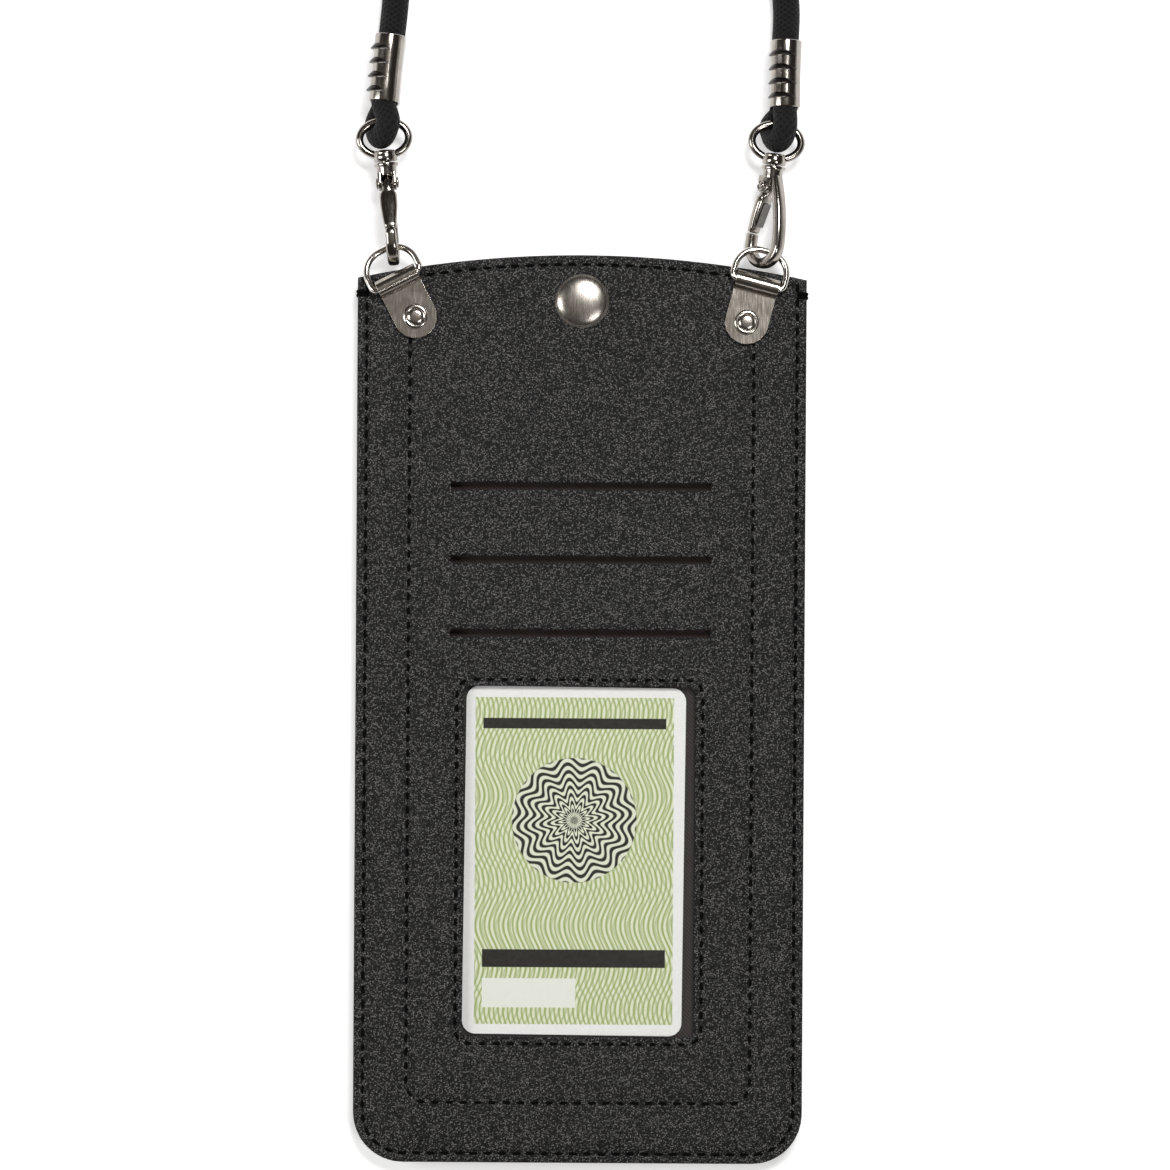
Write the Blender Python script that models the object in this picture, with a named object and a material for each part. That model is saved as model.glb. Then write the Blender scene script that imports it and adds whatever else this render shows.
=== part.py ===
"""Neck pouch wallet lying on its back, front face up.

X runs across the pouch, Y towards its mouth and Z up from the surface that it
lies on. The origin is the centre of the back face. Constants are millimetres.
"""

import math

import bmesh
import bpy
from mathutils import Euler, Vector

MM = 0.001
GAP = 0.3

# Pouch body
POUCH_WIDTH = 110.3
POUCH_HEIGHT = 223.0
MOUTH_RISE = 5.8
BOTTOM_RADIUS = 12.3
LEATHER = 1.2
INSIDE_DEPTH = 4.6
WELT_WIDTH = 7.0
BACK_TOP = LEATHER
FRONT_BOTTOM = BACK_TOP + INSIDE_DEPTH
FRONT_TOP = FRONT_BOTTOM + LEATHER

# Card slots, window and card
SLOT_LENGTH = 64.0
SLOT_WIDTH = 1.9
SLOT_FIRST = 54.7
SLOT_PITCH = 18.05
SLOT_COUNT = 3
WINDOW_SIZE = (57.0, 86.2)
WINDOW_RADIUS = 2.5
WINDOW_CENTRE = (0.0, -37.5)
FILM_MARGIN = 3.0
FILM_THICK = 0.25
CARD_SIZE = (54.0, 85.6)
CARD_RADIUS = 3.2
CARD_THICK = 0.76
CARD_CENTRE = (-1.2, -37.4)
CARD_TURN = math.radians(-0.5)
LINING_HALF = 44.0
LINING_TOP = 62.0
LINING_FOOT = -98.5
LINING_WALL = 3.0
LINING_THICK = 0.4

# Snap fastener
SNAP_CENTRE = (0.0, 100.2)
SNAP_RADIUS = 6.55
SNAP_DOME = 1.8
SNAP_POST = 2.0
STUD_POST = 1.5
STUD_KNOB = 2.5

# Folded metal clips with their rivets
CLIP_WIDTH = 10.7
CLIP_LENGTH = 9.8
CLIP_THICK = 1.1
CLIP_LOOP_OUTER = 2.1
CLIP_LOOP_INNER = 1.15
RIVET_RADIUS = 3.05
RIVET_POST = 1.5

# D-rings
D_WIRE = 0.8
D_WIDTH = 12.9
D_HEIGHT = 8.6
D_DROOP = math.radians(-13.0)

# Snap hooks, in their own frame: X across the loop, Y along the hook
HOOK_WIDTH = 12.0
HOOK_BAND = 2.6
HOOK_THICK = 3.0
HOOK_TIP = 8.6
TIP_SLOPE = 0.05
SPINE_TOP = (1.2, 22.5)
PIVOT = (-0.9, 20.2)
LUG_RADIUS = 1.9
LUG_TOP = 22.8
CHEEK_HALF = 2.25
TONGUE_RADIUS = 1.6
TONGUE_HALF = 1.05
GATE_HALF = 2.2
STEM_RADIUS = 2.5
STEM_FOOT = 21.5
STEM_TOP = 25.2
SWIVEL_NECK = 1.2
SWIVEL_HEAD = 1.9
PIN_RADIUS = 0.8
PIN_HEAD = 1.4

# Swivel eyes
COLLAR_RADIUS = 2.9
COLLAR_FOOT = 25.6
COLLAR_TOP = 28.2
EYE_WIRE = 0.95
EYE_CENTRE = 31.3
EYE_HALF = (6.05, 4.35)

# Cord and crimped ferrules
CORD_RADIUS = 3.3
LOOP_RADIUS = 2.8
CLASP_LEVEL = 7.4
FERRULE_SIZE = (7.5, 16.3, 12.5)
STRAND_OFFSET = 3.1
STRAND_STRAIGHT = 1.0
COIL_CENTRE = (1.5, 234.0)
COIL_TURNS = 4.5
COIL_INNER = 27.8
COIL_PITCH = 7.2
COIL_LEVEL = 4.25
COIL_CLIMB = 0.5
LOOP_POINTS = 24
TIE_WIDTH = 9.0
TIE_THICK = 0.6

# The two straps differ in how they happen to lie: bar centre, turn of the clip,
# hook end, turn and roll of the hook, foot and turn of the ferrule
SIDES = {
    "left": {
        "bar": (-45.3, 104.8), "clip_turn": 27.0,
        "hook": (-46.2, 108.6), "hook_turn": 4.9, "hook_roll": -90.0,
        "ferrule": (-48.9, 148.6), "ferrule_turn": -5.6,
    },
    "right": {
        "bar": (42.9, 104.6), "clip_turn": -15.0,
        "hook": (44.0, 108.4), "hook_turn": -6.3, "hook_roll": 48.0,
        "ferrule": (49.3, 147.7), "ferrule_turn": -1.1,
    },
}


def clear_scene():
    for item in list(bpy.data.objects):
        bpy.data.objects.remove(item, do_unlink=True)


def material(name, colour, roughness, metallic=0.0):
    made = bpy.data.materials.new(name)
    made.use_nodes = True
    shader = made.node_tree.nodes["Principled BSDF"]
    shader.inputs["Base Color"].default_value = (*colour, 1.0)
    shader.inputs["Roughness"].default_value = roughness
    shader.inputs["Metallic"].default_value = metallic
    return made


# Plane outlines

def rounded(corners, radii, steps=5):
    """Polygon through the corners, each rounded by its own radius."""
    outline = []
    count = len(corners)
    for index, radius in enumerate(radii):
        corner = Vector(corners[index])
        if radius <= 0:
            outline.append(tuple(corner))
            continue
        before = (Vector(corners[index - 1]) - corner).normalized()
        after = (Vector(corners[(index + 1) % count]) - corner).normalized()
        half = before.angle(after) / 2
        reach = radius / math.tan(half)
        centre = corner + (before + after).normalized() * radius / math.sin(half)
        first = corner + before * reach - centre
        last = corner + after * reach - centre
        for step in range(steps + 1):
            spoke = first.lerp(last, step / steps).normalized() * radius
            outline.append(tuple(centre + spoke))
    return outline


def rectangle(width, height, centre=(0.0, 0.0), radius=0.0, steps=5):
    x, y = centre
    left, right = x - width / 2, x + width / 2
    low, high = y - height / 2, y + height / 2
    corners = [(left, low), (right, low), (right, high), (left, high)]
    return rounded(corners, [radius] * 4, steps)


def circle(radius, sides=24, centre=(0.0, 0.0)):
    angles = [2 * math.pi * step / sides for step in range(sides)]
    return [(centre[0] + radius * math.cos(a), centre[1] + radius * math.sin(a)) for a in angles]


def arc(centre, radius, start, end, steps):
    angles = [start + (end - start) * step / steps for step in range(steps + 1)]
    return [(centre[0] + radius * math.cos(a), centre[1] + radius * math.sin(a)) for a in angles]


def stroke(path, half_width):
    """Outline of a band of even width along an open path."""
    left, right = [], []
    for index, point in enumerate(path):
        ahead = Vector(path[min(index + 1, len(path) - 1)])
        behind = Vector(path[max(index - 1, 0)])
        along = (ahead - behind).normalized()
        side = Vector((-along.y, along.x)) * half_width
        left.append(tuple(Vector(point) + side))
        right.append(tuple(Vector(point) - side))
    return left + right[::-1]


def mouth_line(x):
    """Height of the arched mouth edge at a place across the pouch."""
    return POUCH_HEIGHT / 2 - MOUTH_RISE * (2 * x / POUCH_WIDTH) ** 2


def pouch_outline(inset=0.0, mouth_steps=16):
    """Side and bottom edges drawn in by an inset, closed by the mouth's arc."""
    half = POUCH_WIDTH / 2 - inset
    foot = -POUCH_HEIGHT / 2 + inset
    radius = max(BOTTOM_RADIUS - inset, 1.0)
    top = mouth_line(half)
    frame = rounded([(-half, top), (-half, foot), (half, foot), (half, top)], [0, radius, radius, 0])
    places = [half - 2 * half * step / mouth_steps for step in range(1, mouth_steps)]
    return frame, [(x, mouth_line(x)) for x in places]


# Solids from loops of points

def build(name, loops, parent, finish, at=(0, 0, 0), turn=(0, 0, 0), ring=False, helper=False):
    """Skin a row of equal loops into one closed solid and place it."""
    count = len(loops[0])
    mesh = bpy.data.meshes.new(name)
    shape = bmesh.new()
    rows = [[shape.verts.new([value * MM for value in point]) for point in loop] for loop in loops]
    pairs = list(zip(rows, rows[1:]))
    if ring:
        pairs.append((rows[-1], rows[0]))
    else:
        shape.faces.new(rows[0][::-1])
        shape.faces.new(rows[-1])
    for low, high in pairs:
        for step in range(count):
            after = (step + 1) % count
            shape.faces.new((low[step], low[after], high[after], high[step]))
    bmesh.ops.recalc_face_normals(shape, faces=shape.faces)
    shape.to_mesh(mesh)
    shape.free()
    piece = bpy.data.objects.new(name, mesh)
    bpy.context.scene.collection.objects.link(piece)
    mesh.shade_smooth()
    mesh.set_sharp_from_angle(angle=math.radians(35))
    place(piece, parent, at, turn)
    if helper:
        piece.hide_render = True
        piece.display_type = "WIRE"
    else:
        mesh.materials.append(finish)
    return piece


def place(piece, parent, at=(0, 0, 0), turn=(0, 0, 0)):
    """World location in millimetres and world rotation, kept under a parent."""
    piece.location = [value * MM for value in at]
    piece.rotation_euler = turn
    if parent:
        bpy.context.view_layer.update()
        piece.parent = parent
        piece.matrix_parent_inverse = parent.matrix_world.inverted()


def axis_empty(name, at, turn, parent):
    empty = bpy.data.objects.new(name, None)
    bpy.context.scene.collection.objects.link(empty)
    place(empty, parent, at, turn)
    bpy.context.view_layer.update()
    return empty


def prism_loops(outline, low, high):
    return [[(x, y, z) for x, y in outline] for z in (low, high)]


def hollow_loops(outer, inner, low, high):
    """Four loops of a ring with a plain bore."""
    corners = [(outer, low), (outer, high), (inner, high), (inner, low)]
    return [[(x, y, z) for x, y in outline] for outline, z in corners]


def turned_loops(profile, sides=24):
    """Circles about Z through a profile of radius and height."""
    return [[(x, y, z) for x, y in circle(radius, sides)] for radius, z in profile]


def along_y(loops):
    """Stand loops made about Z along Y instead."""
    return [[(x, z, -y) for x, y, z in loop] for loop in loops]


def along_x(loops):
    return [[(z, x, y) for x, y, z in loop] for loop in loops]


def wire_loops(path, radius, sides=10):
    """Round wire along a closed path in the XY plane, mitred at each point."""
    loops = []
    count = len(path)
    for index, point in enumerate(path):
        here = Vector(point)
        into = (here - Vector(path[index - 1])).normalized()
        out = (Vector(path[(index + 1) % count]) - here).normalized()
        along = (into + out).normalized()
        stretch = 1 / max(along.dot(out), 0.5)
        side = Vector((-along.y, along.x)) * stretch
        loop = []
        for x, z in circle(radius, sides):
            spot = here + side * x
            loop.append((spot.x, spot.y, z))
        loops.append(loop)
    return loops


def combine(piece, helper, operation):
    step = piece.modifiers.new(helper.name, "BOOLEAN")
    step.operation = operation
    step.solver = "EXACT"
    step.object = helper


def cord_curve(name, points, radius, resolution, parent, finish):
    """Round cord along points given in millimetres."""
    curve = bpy.data.curves.new(name, "CURVE")
    curve.dimensions = "3D"
    curve.bevel_depth = radius * MM
    curve.bevel_resolution = resolution
    curve.use_fill_caps = True
    spline = curve.splines.new("POLY")
    spline.points.add(len(points) - 1)
    for target, point in zip(spline.points, points):
        target.co = (*[value * MM for value in point], 1.0)
    curve.materials.append(finish)
    piece = bpy.data.objects.new(name, curve)
    bpy.context.scene.collection.objects.link(piece)
    place(piece, parent)
    return piece


def smooth_route(knots, per_span=3):
    """Points read from a Catmull-Rom curve through the knots."""
    knots = [Vector(knot) for knot in knots]
    padded = [2 * knots[0] - knots[1], *knots, 2 * knots[-1] - knots[-2]]
    route = []
    for a, b, c, d in zip(padded, padded[1:], padded[2:], padded[3:]):
        for step in range(per_span):
            t = step / per_span
            route.append(0.5 * (2 * b + (c - a) * t + (2 * a - 5 * b + 4 * c - d) * t * t
                                + (3 * b - a - 3 * c + d) * t ** 3))
    route.append(knots[-1])
    return route


# Pouch pieces

def make_pouch(root, finish):
    sides, mouth = pouch_outline()
    outline = sides + mouth
    front = build("front_panel", prism_loops(outline, FRONT_BOTTOM, FRONT_TOP), root, finish["leather"])
    back = build("back_panel", prism_loops(outline, 0, BACK_TOP), root, finish["leather"])
    inner, _ = pouch_outline(WELT_WIDTH)
    welt = sides + inner[::-1]
    build("seam_welt", prism_loops(welt, BACK_TOP + GAP, FRONT_BOTTOM - GAP), root, finish["leather"])

    low, high = FRONT_BOTTOM - 1, FRONT_TOP + 1
    holes = {"window": rectangle(*WINDOW_SIZE, WINDOW_CENTRE, WINDOW_RADIUS)}
    for slot in range(SLOT_COUNT):
        holes[f"slot_{slot}"] = rectangle(SLOT_LENGTH, SLOT_WIDTH, (0, SLOT_FIRST - slot * SLOT_PITCH))
    holes["snap"] = circle(SNAP_POST + GAP, 16, SNAP_CENTRE)
    for side, lie in SIDES.items():
        holes[f"rivet_{side}"] = circle(RIVET_POST + GAP, 16, rivet_place(lie))
    for name, hole in holes.items():
        combine(front, build(f"cut_{name}", prism_loops(hole, low, high), root, None, helper=True), "DIFFERENCE")
    stud_hole = prism_loops(circle(STUD_POST + GAP, 16, SNAP_CENTRE), -1, BACK_TOP + 1)
    combine(back, build("cut_stud", stud_hole, root, None, helper=True), "DIFFERENCE")


def make_pocket(root, card_axis, finish):
    top = FRONT_BOTTOM - GAP
    film_low = top - FILM_THICK
    card_low = film_low - GAP - CARD_THICK
    floor = card_low - GAP
    height = LINING_TOP - LINING_FOOT
    middle = (LINING_TOP + LINING_FOOT) / 2
    body = rectangle(2 * LINING_HALF, height, (0, middle))
    lining = build("pocket_lining", prism_loops(body, floor - LINING_THICK, top), root, finish["lining"])
    hollow = rectangle(2 * (LINING_HALF - LINING_WALL), height, (0, middle + LINING_WALL))
    cutter = build("cut_pocket", prism_loops(hollow, floor, top + 1), root, None, helper=True)
    combine(lining, cutter, "DIFFERENCE")

    film = rectangle(*(size + 2 * FILM_MARGIN for size in WINDOW_SIZE), WINDOW_CENTRE)
    build("window_film", prism_loops(film, film_low, top), root, finish["film"])
    card = rectangle(*CARD_SIZE, radius=CARD_RADIUS)
    build("insert_card", prism_loops(card, card_low, card_low + CARD_THICK), card_axis, finish["card"],
          at=(*CARD_CENTRE, 0), turn=(0, 0, CARD_TURN))


def make_snap(root, finish):
    at = (*SNAP_CENTRE, 0)
    seat = FRONT_TOP + GAP
    under = FRONT_BOTTOM - GAP
    cap = [(SNAP_POST, under - 0.8), (SNAP_POST, seat), (SNAP_RADIUS, seat), (SNAP_RADIUS, seat + 0.5),
           (SNAP_RADIUS * 0.92, seat + 0.9), (SNAP_RADIUS * 0.65, seat + SNAP_DOME * 0.85),
           (SNAP_RADIUS * 0.25, seat + SNAP_DOME)]
    build("snap_cap", turned_loops(cap), root, finish["metal"], at=at)
    recess = STUD_KNOB + 0.4
    socket = [(6.0, under - 1.6), (6.0, under), (SNAP_POST + GAP, under), (SNAP_POST + GAP, under - 1.0),
              (recess, under - 1.3), (recess, under - 2.2), (4.6, under - 2.2)]
    build("snap_socket", turned_loops(socket), root, finish["metal"], at=at, ring=True)
    base = BACK_TOP + GAP
    stud = [(STUD_POST, GAP), (STUD_POST, base), (5.5, base), (5.5, base + 0.7),
            (STUD_KNOB - 0.4, base + 0.8), (STUD_KNOB, base + 2.1), (STUD_KNOB - 0.5, base + 2.5)]
    build("snap_stud", turned_loops(stud), root, finish["metal"], at=at)


# Hardware of one strap

def facing(turn, roll=0.0):
    """World rotation that turns +Y sideways and then rolls about it."""
    matrix = Euler((0, 0, math.radians(turn))).to_matrix() @ Euler((0, -math.radians(roll), 0)).to_matrix()
    return matrix.to_euler()


def rivet_place(lie):
    turn = math.radians(lie["clip_turn"])
    x, y = lie["bar"]
    return (x + CLIP_LENGTH * math.sin(turn), y - CLIP_LENGTH * math.cos(turn))


def bar_level():
    return FRONT_TOP + GAP + CLIP_LOOP_OUTER


def make_clip(side, lie, root, finish):
    at = (*lie["bar"], 0)
    turn = facing(lie["clip_turn"])
    base = FRONT_TOP + GAP
    half = CLIP_WIDTH / 2
    end = -CLIP_LOOP_OUTER * 0.57
    foot = -CLIP_LENGTH - half
    outline = rounded([(-half, end), (-half, foot), (half, foot), (half, end)], [0, half - 0.05, half - 0.05, 0])
    plate = build(f"clip_plate_{side}", prism_loops(outline, base, base + CLIP_THICK), root, finish["metal"],
                  at=at, turn=turn)
    loop = hollow_loops(circle(CLIP_LOOP_OUTER, 20), circle(CLIP_LOOP_INNER, 20), -half, half)
    band = build(f"join_loop_{side}", along_x(loop), root, None, at=(*lie["bar"], bar_level()), turn=turn,
                 ring=True, helper=True)
    combine(plate, band, "UNION")
    hole = prism_loops(circle(RIVET_POST + GAP, 16, (0, -CLIP_LENGTH)), base - 1, base + CLIP_THICK + 1)
    combine(plate, build(f"cut_clip_{side}", hole, root, None, at=at, turn=turn, helper=True), "DIFFERENCE")

    seat = base + CLIP_THICK + GAP
    under = FRONT_BOTTOM - GAP
    rivet = [(2.6, under - 0.6), (2.6, under), (RIVET_POST, under), (RIVET_POST, seat), (RIVET_RADIUS, seat),
             (RIVET_RADIUS, seat + 0.3), (2.3, seat + 0.9), (0.9, seat + 1.2)]
    build(f"clip_rivet_{side}", turned_loops(rivet, 20), root, finish["metal"], at=(*rivet_place(lie), 0))


def make_d_ring(side, lie, clasp, finish):
    half = D_WIDTH / 2
    corners = [(-half, 0), (half, 0), (half, D_HEIGHT), (-half, D_HEIGHT)]
    path = rounded(corners, [1.3, 1.3, 5.6, 5.6], 5)
    matrix = facing(lie["clip_turn"]).to_matrix() @ Euler((D_DROOP, 0, 0)).to_matrix()
    build(f"d_ring_{side}", wire_loops(path, D_WIRE), clasp, finish["metal"], at=(*lie["bar"], bar_level()),
          turn=matrix.to_euler(), ring=True)


def hook_path():
    """Middle line of the hook's band, from its sloped tip round the bend and up the spine."""
    reach = (HOOK_WIDTH - HOOK_BAND) / 2
    low = HOOK_WIDTH / 2
    path = [(TIP_SLOPE - reach, HOOK_TIP), (-TIP_SLOPE - reach, HOOK_TIP - 6 * TIP_SLOPE)]
    path += arc((0.0, low), reach, math.pi, 2 * math.pi, 12)
    for share in [step / 8 for step in range(1, 9)]:
        path.append((reach + (SPINE_TOP[0] - reach) * share ** 2, low + (SPINE_TOP[1] - low) * share))
    return path


def gate_directions():
    """Along the gate from its pin, across it towards the spine, and its length."""
    way = Vector(((HOOK_BAND - HOOK_WIDTH) / 2, HOOK_TIP)) - Vector(PIVOT)
    along = way.normalized()
    return along, Vector((-along.y, along.x)), way.length - GAP


def make_hook(side, lie, hook, finish):
    at = (*lie["hook"], CLASP_LEVEL)
    turn = facing(lie["hook_turn"], lie["hook_roll"])
    half = HOOK_THICK / 2
    outline = stroke(hook_path(), HOOK_BAND / 2)
    body = build(f"hook_body_{side}", prism_loops(outline, -half, half), hook, finish["metal"], at=at, turn=turn)
    head_low = COLLAR_TOP - 0.95
    stem = [(STEM_RADIUS, STEM_FOOT), (STEM_RADIUS, STEM_TOP - 0.9), (COLLAR_RADIUS, STEM_TOP - 0.8),
            (COLLAR_RADIUS, STEM_TOP), (SWIVEL_NECK, STEM_TOP), (SWIVEL_NECK, head_low),
            (SWIVEL_HEAD, head_low), (SWIVEL_HEAD, COLLAR_TOP - 0.2)]
    lug = arc(PIVOT, LUG_RADIUS, math.pi, 2 * math.pi, 10)
    lug += [(PIVOT[0] + LUG_RADIUS, LUG_TOP), (PIVOT[0] - LUG_RADIUS + 0.4, LUG_TOP)]
    slot_right = PIVOT[0] + TONGUE_RADIUS + GAP
    slot_top = PIVOT[1] + TONGUE_RADIUS + GAP
    slot_low = PIVOT[1] - LUG_RADIUS - 1
    slot = [(-HOOK_WIDTH, slot_low), (slot_right, slot_low), (slot_right, slot_top), (-HOOK_WIDTH, slot_top)]
    slot_half = TONGUE_HALF + GAP
    steps = [
        ("join_lug", prism_loops(lug, -CHEEK_HALF, CHEEK_HALF), "UNION"),
        ("join_stem", along_y(turned_loops(stem, 20)), "UNION"),
        ("cut_slot", prism_loops(slot, -slot_half, slot_half), "DIFFERENCE"),
        ("cut_pin", pin_bore(), "DIFFERENCE"),
    ]
    for name, loops, operation in steps:
        helper = build(f"{name}_{side}", loops, hook, None, at=at, turn=turn, helper=True)
        combine(body, helper, operation)

    cheek = CHEEK_HALF + GAP
    pin = [(PIN_HEAD * 0.7, -cheek - 0.6), (PIN_HEAD, -cheek - 0.3), (PIN_HEAD, -cheek), (PIN_RADIUS, -cheek),
           (PIN_RADIUS, cheek), (PIN_HEAD, cheek), (PIN_HEAD, cheek + 0.3), (PIN_HEAD * 0.7, cheek + 0.6)]
    loops = [[(x + PIVOT[0], y + PIVOT[1], z) for x, y, z in loop] for loop in turned_loops(pin, 12)]
    build(f"gate_pin_{side}", loops, hook, finish["metal"], at=at, turn=turn)


def pin_bore():
    return prism_loops(circle(PIN_RADIUS + GAP, 12, PIVOT), -5, 5)


def make_gate(side, lie, gate, finish):
    """Lever whose tongue turns between the hook's cheeks, with a leaf spring on its inner face."""
    at = (*lie["hook"], CLASP_LEVEL)
    turn = facing(lie["hook_turn"], lie["hook_roll"])
    along, across, length = gate_directions()
    stations = [
        (-TONGUE_RADIUS + 0.1, 0.5, TONGUE_HALF), (-0.7 * TONGUE_RADIUS, 0.7 * TONGUE_RADIUS, TONGUE_HALF),
        (0, TONGUE_RADIUS, TONGUE_HALF), (2.5, 1.3, TONGUE_HALF), (2.55, 1.3, GATE_HALF),
        (6.0, 1.15, GATE_HALF), (length, 1.0, HOOK_THICK / 2),
    ]
    loops = []
    for reach, thick, wide in stations:
        outer = Vector(PIVOT) + along * reach - across * thick
        inner = outer + across * 2 * thick
        loops.append([(*outer, -wide), (*inner, -wide), (*inner, wide), (*outer, wide)])
    lever = build(f"hook_gate_{side}", loops, gate, finish["metal"], at=at, turn=turn)
    bore = build(f"cut_tongue_{side}", pin_bore(), gate, None, at=at, turn=turn, helper=True)
    combine(lever, bore, "DIFFERENCE")
    leaf = []
    for reach, offset in ((4.0, 1.3), (10.0, 1.1), (10.0, 1.5), (4.0, 1.7)):
        leaf.append(tuple(Vector(PIVOT) + along * reach + across * (offset + GAP)))
    build(f"gate_spring_{side}", prism_loops(leaf, -1.0, 1.0), gate, finish["spring"], at=at, turn=turn)


def make_swivel_eye(side, lie, clasp, finish):
    at = (*lie["hook"], CLASP_LEVEL)
    turn = facing(lie["hook_turn"])
    path = [(x * EYE_HALF[0], EYE_CENTRE + y * EYE_HALF[1]) for x, y in circle(1.0, 24)]
    eye = build(f"swivel_eye_{side}", wire_loops(path, EYE_WIRE), clasp, finish["metal"], at=at, turn=turn, ring=True)
    collar = [(COLLAR_RADIUS - 0.3, COLLAR_FOOT), (COLLAR_RADIUS, COLLAR_FOOT + 0.4),
              (COLLAR_RADIUS, COLLAR_TOP - 0.4), (COLLAR_RADIUS - 0.3, COLLAR_TOP)]
    band = build(f"join_collar_{side}", along_y(turned_loops(collar, 20)), clasp, None, at=at, turn=turn, helper=True)
    combine(eye, band, "UNION")
    step = COLLAR_TOP - 1.25
    bore = [(SWIVEL_NECK + GAP, COLLAR_FOOT - 1), (SWIVEL_NECK + GAP, step), (SWIVEL_HEAD + GAP, step),
            (SWIVEL_HEAD + GAP, COLLAR_TOP + 0.5)]
    hole = build(f"cut_collar_{side}", along_y(turned_loops(bore, 20)), clasp, None, at=at, turn=turn, helper=True)
    combine(eye, hole, "DIFFERENCE")


def eye_top(lie):
    """Middle of the eye's upper wire, where the cord turns back."""
    turn = math.radians(lie["hook_turn"])
    reach = EYE_CENTRE + EYE_HALF[1]
    x, y = lie["hook"]
    return Vector((x - reach * math.sin(turn), y + reach * math.cos(turn), CLASP_LEVEL))


def strap_axis(lie):
    turn = math.radians(lie["ferrule_turn"])
    return Vector((-math.sin(turn), math.cos(turn), 0))


def make_ferrule_and_loop(side, lie, clasp, finish):
    wide, length, deep = FERRULE_SIZE
    foot = Vector((*lie["ferrule"], CLASP_LEVEL))
    rows = [(0, 0.5), (0.6, 0), (length - 0.6, 0), (length, 0.5)]
    loops = []
    for y, inset in rows:
        section = rectangle(wide - 2 * inset, deep - 2 * inset, radius=wide / 2 - inset - 0.05, steps=6)
        loops.append([(x, y, -z) for x, z in section])
    build(f"cord_ferrule_{side}", loops, clasp, finish["metal"], at=foot, turn=facing(lie["ferrule_turn"]))

    axis = strap_axis(lie)
    up = Vector((0, 0, 1))
    centre = eye_top(lie)
    bend = EYE_WIRE + GAP + LOOP_RADIUS
    start = foot - axis * GAP
    back = [centre - axis * math.sin(a) * bend + up * math.cos(a) * bend
            for a in [math.pi * step / 8 for step in range(9)]]
    front, rear = start + up * STRAND_OFFSET, start - up * STRAND_OFFSET
    route = [front, front - axis * STRAND_STRAIGHT, *back, rear - axis * STRAND_STRAIGHT, rear]
    cord_curve(f"cord_loop_{side}", route, LOOP_RADIUS, 2, clasp, finish["cord"])


# Cord

def coil_points():
    """A spiral in and out again in two layers, with a straight end at each side."""
    middle = COIL_TURNS / 2
    points = []
    count = int(COIL_TURNS * LOOP_POINTS)
    for step in range(count + 1):
        turns = COIL_TURNS * step / count
        radius = COIL_INNER + COIL_PITCH * abs(turns - middle)
        rise = min(max((turns - middle) / COIL_CLIMB + 0.5, 0), 1)
        level = COIL_LEVEL + COIL_PITCH * rise * rise * (3 - 2 * rise)
        angle = math.pi - 2 * math.pi * turns
        points.append(Vector((COIL_CENTRE[0] + radius * math.cos(angle),
                              COIL_CENTRE[1] + radius * math.sin(angle), level)))
    lead = Vector((0, -2 * CORD_RADIUS, 0))
    return [points[0] + lead, *points, points[-1] + lead]


def least_self_gap(points):
    """Smallest surface gap between stretches that lie over half a turn apart."""
    apart = LOOP_POINTS // 2
    least = min((a - b).length for i, a in enumerate(points) for b in points[i + apart:])
    return least - 2 * CORD_RADIUS


def leg_route(lie, coil_end):
    """Hand-laid way of the cord from a ferrule to an end of the coil."""
    axis = strap_axis(lie)
    top = Vector((*lie["ferrule"], CLASP_LEVEL - STRAND_OFFSET)) + axis * (FERRULE_SIZE[1] + GAP)
    end = Vector(coil_end) - Vector((0, GAP, 0))
    low = CORD_RADIUS + 0.1
    rise = max(end.z - low, 0)
    knots = [
        top,
        top + axis * 9.0 - Vector((0, 0, 0.6)),
        Vector((top.x * 0.7 + end.x * 0.3, top.y + 20.0, low + rise * 0.08)),
        Vector((top.x * 0.35 + end.x * 0.65, top.y + 34.0, low + rise * 0.45)),
        Vector((end.x, end.y - 7.0, end.z - rise * 0.06)),
        end,
    ]
    return smooth_route(knots)


def make_cord(root, finish):
    points = coil_points()
    print("least gap of the coil to itself, mm:", round(least_self_gap(points), 3))
    cord_curve("cord_coil", points, CORD_RADIUS, 1, root, finish["cord"])
    for side, end in (("left", points[0]), ("right", points[-1])):
        cord_curve(f"cord_leg_{side}", leg_route(SIDES[side], end), CORD_RADIUS, 2, root, finish["cord"])

    outermost = COIL_INNER + COIL_PITCH * (COIL_TURNS / 2 - 0.25) + CORD_RADIUS
    innermost = COIL_INNER - CORD_RADIUS
    low = COIL_LEVEL - CORD_RADIUS
    high = COIL_LEVEL + COIL_PITCH + CORD_RADIUS
    across = outermost - innermost
    centre = (COIL_CENTRE[1] + (outermost + innermost) / 2, (low + high) / 2)
    clear = 2 * GAP + 0.2
    inner = rectangle(across + clear, high - low + 2 * GAP, centre, 4.0)
    outer = rectangle(across + clear + 2 * TIE_THICK, high - low + 2 * GAP + 2 * TIE_THICK, centre, 4.0 + TIE_THICK)
    band = hollow_loops(outer, inner, -TIE_WIDTH / 2, TIE_WIDTH / 2)
    build("coil_tie", along_x(band), root, finish["tie"], at=(COIL_CENTRE[0], 0, 0), ring=True)


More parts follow.
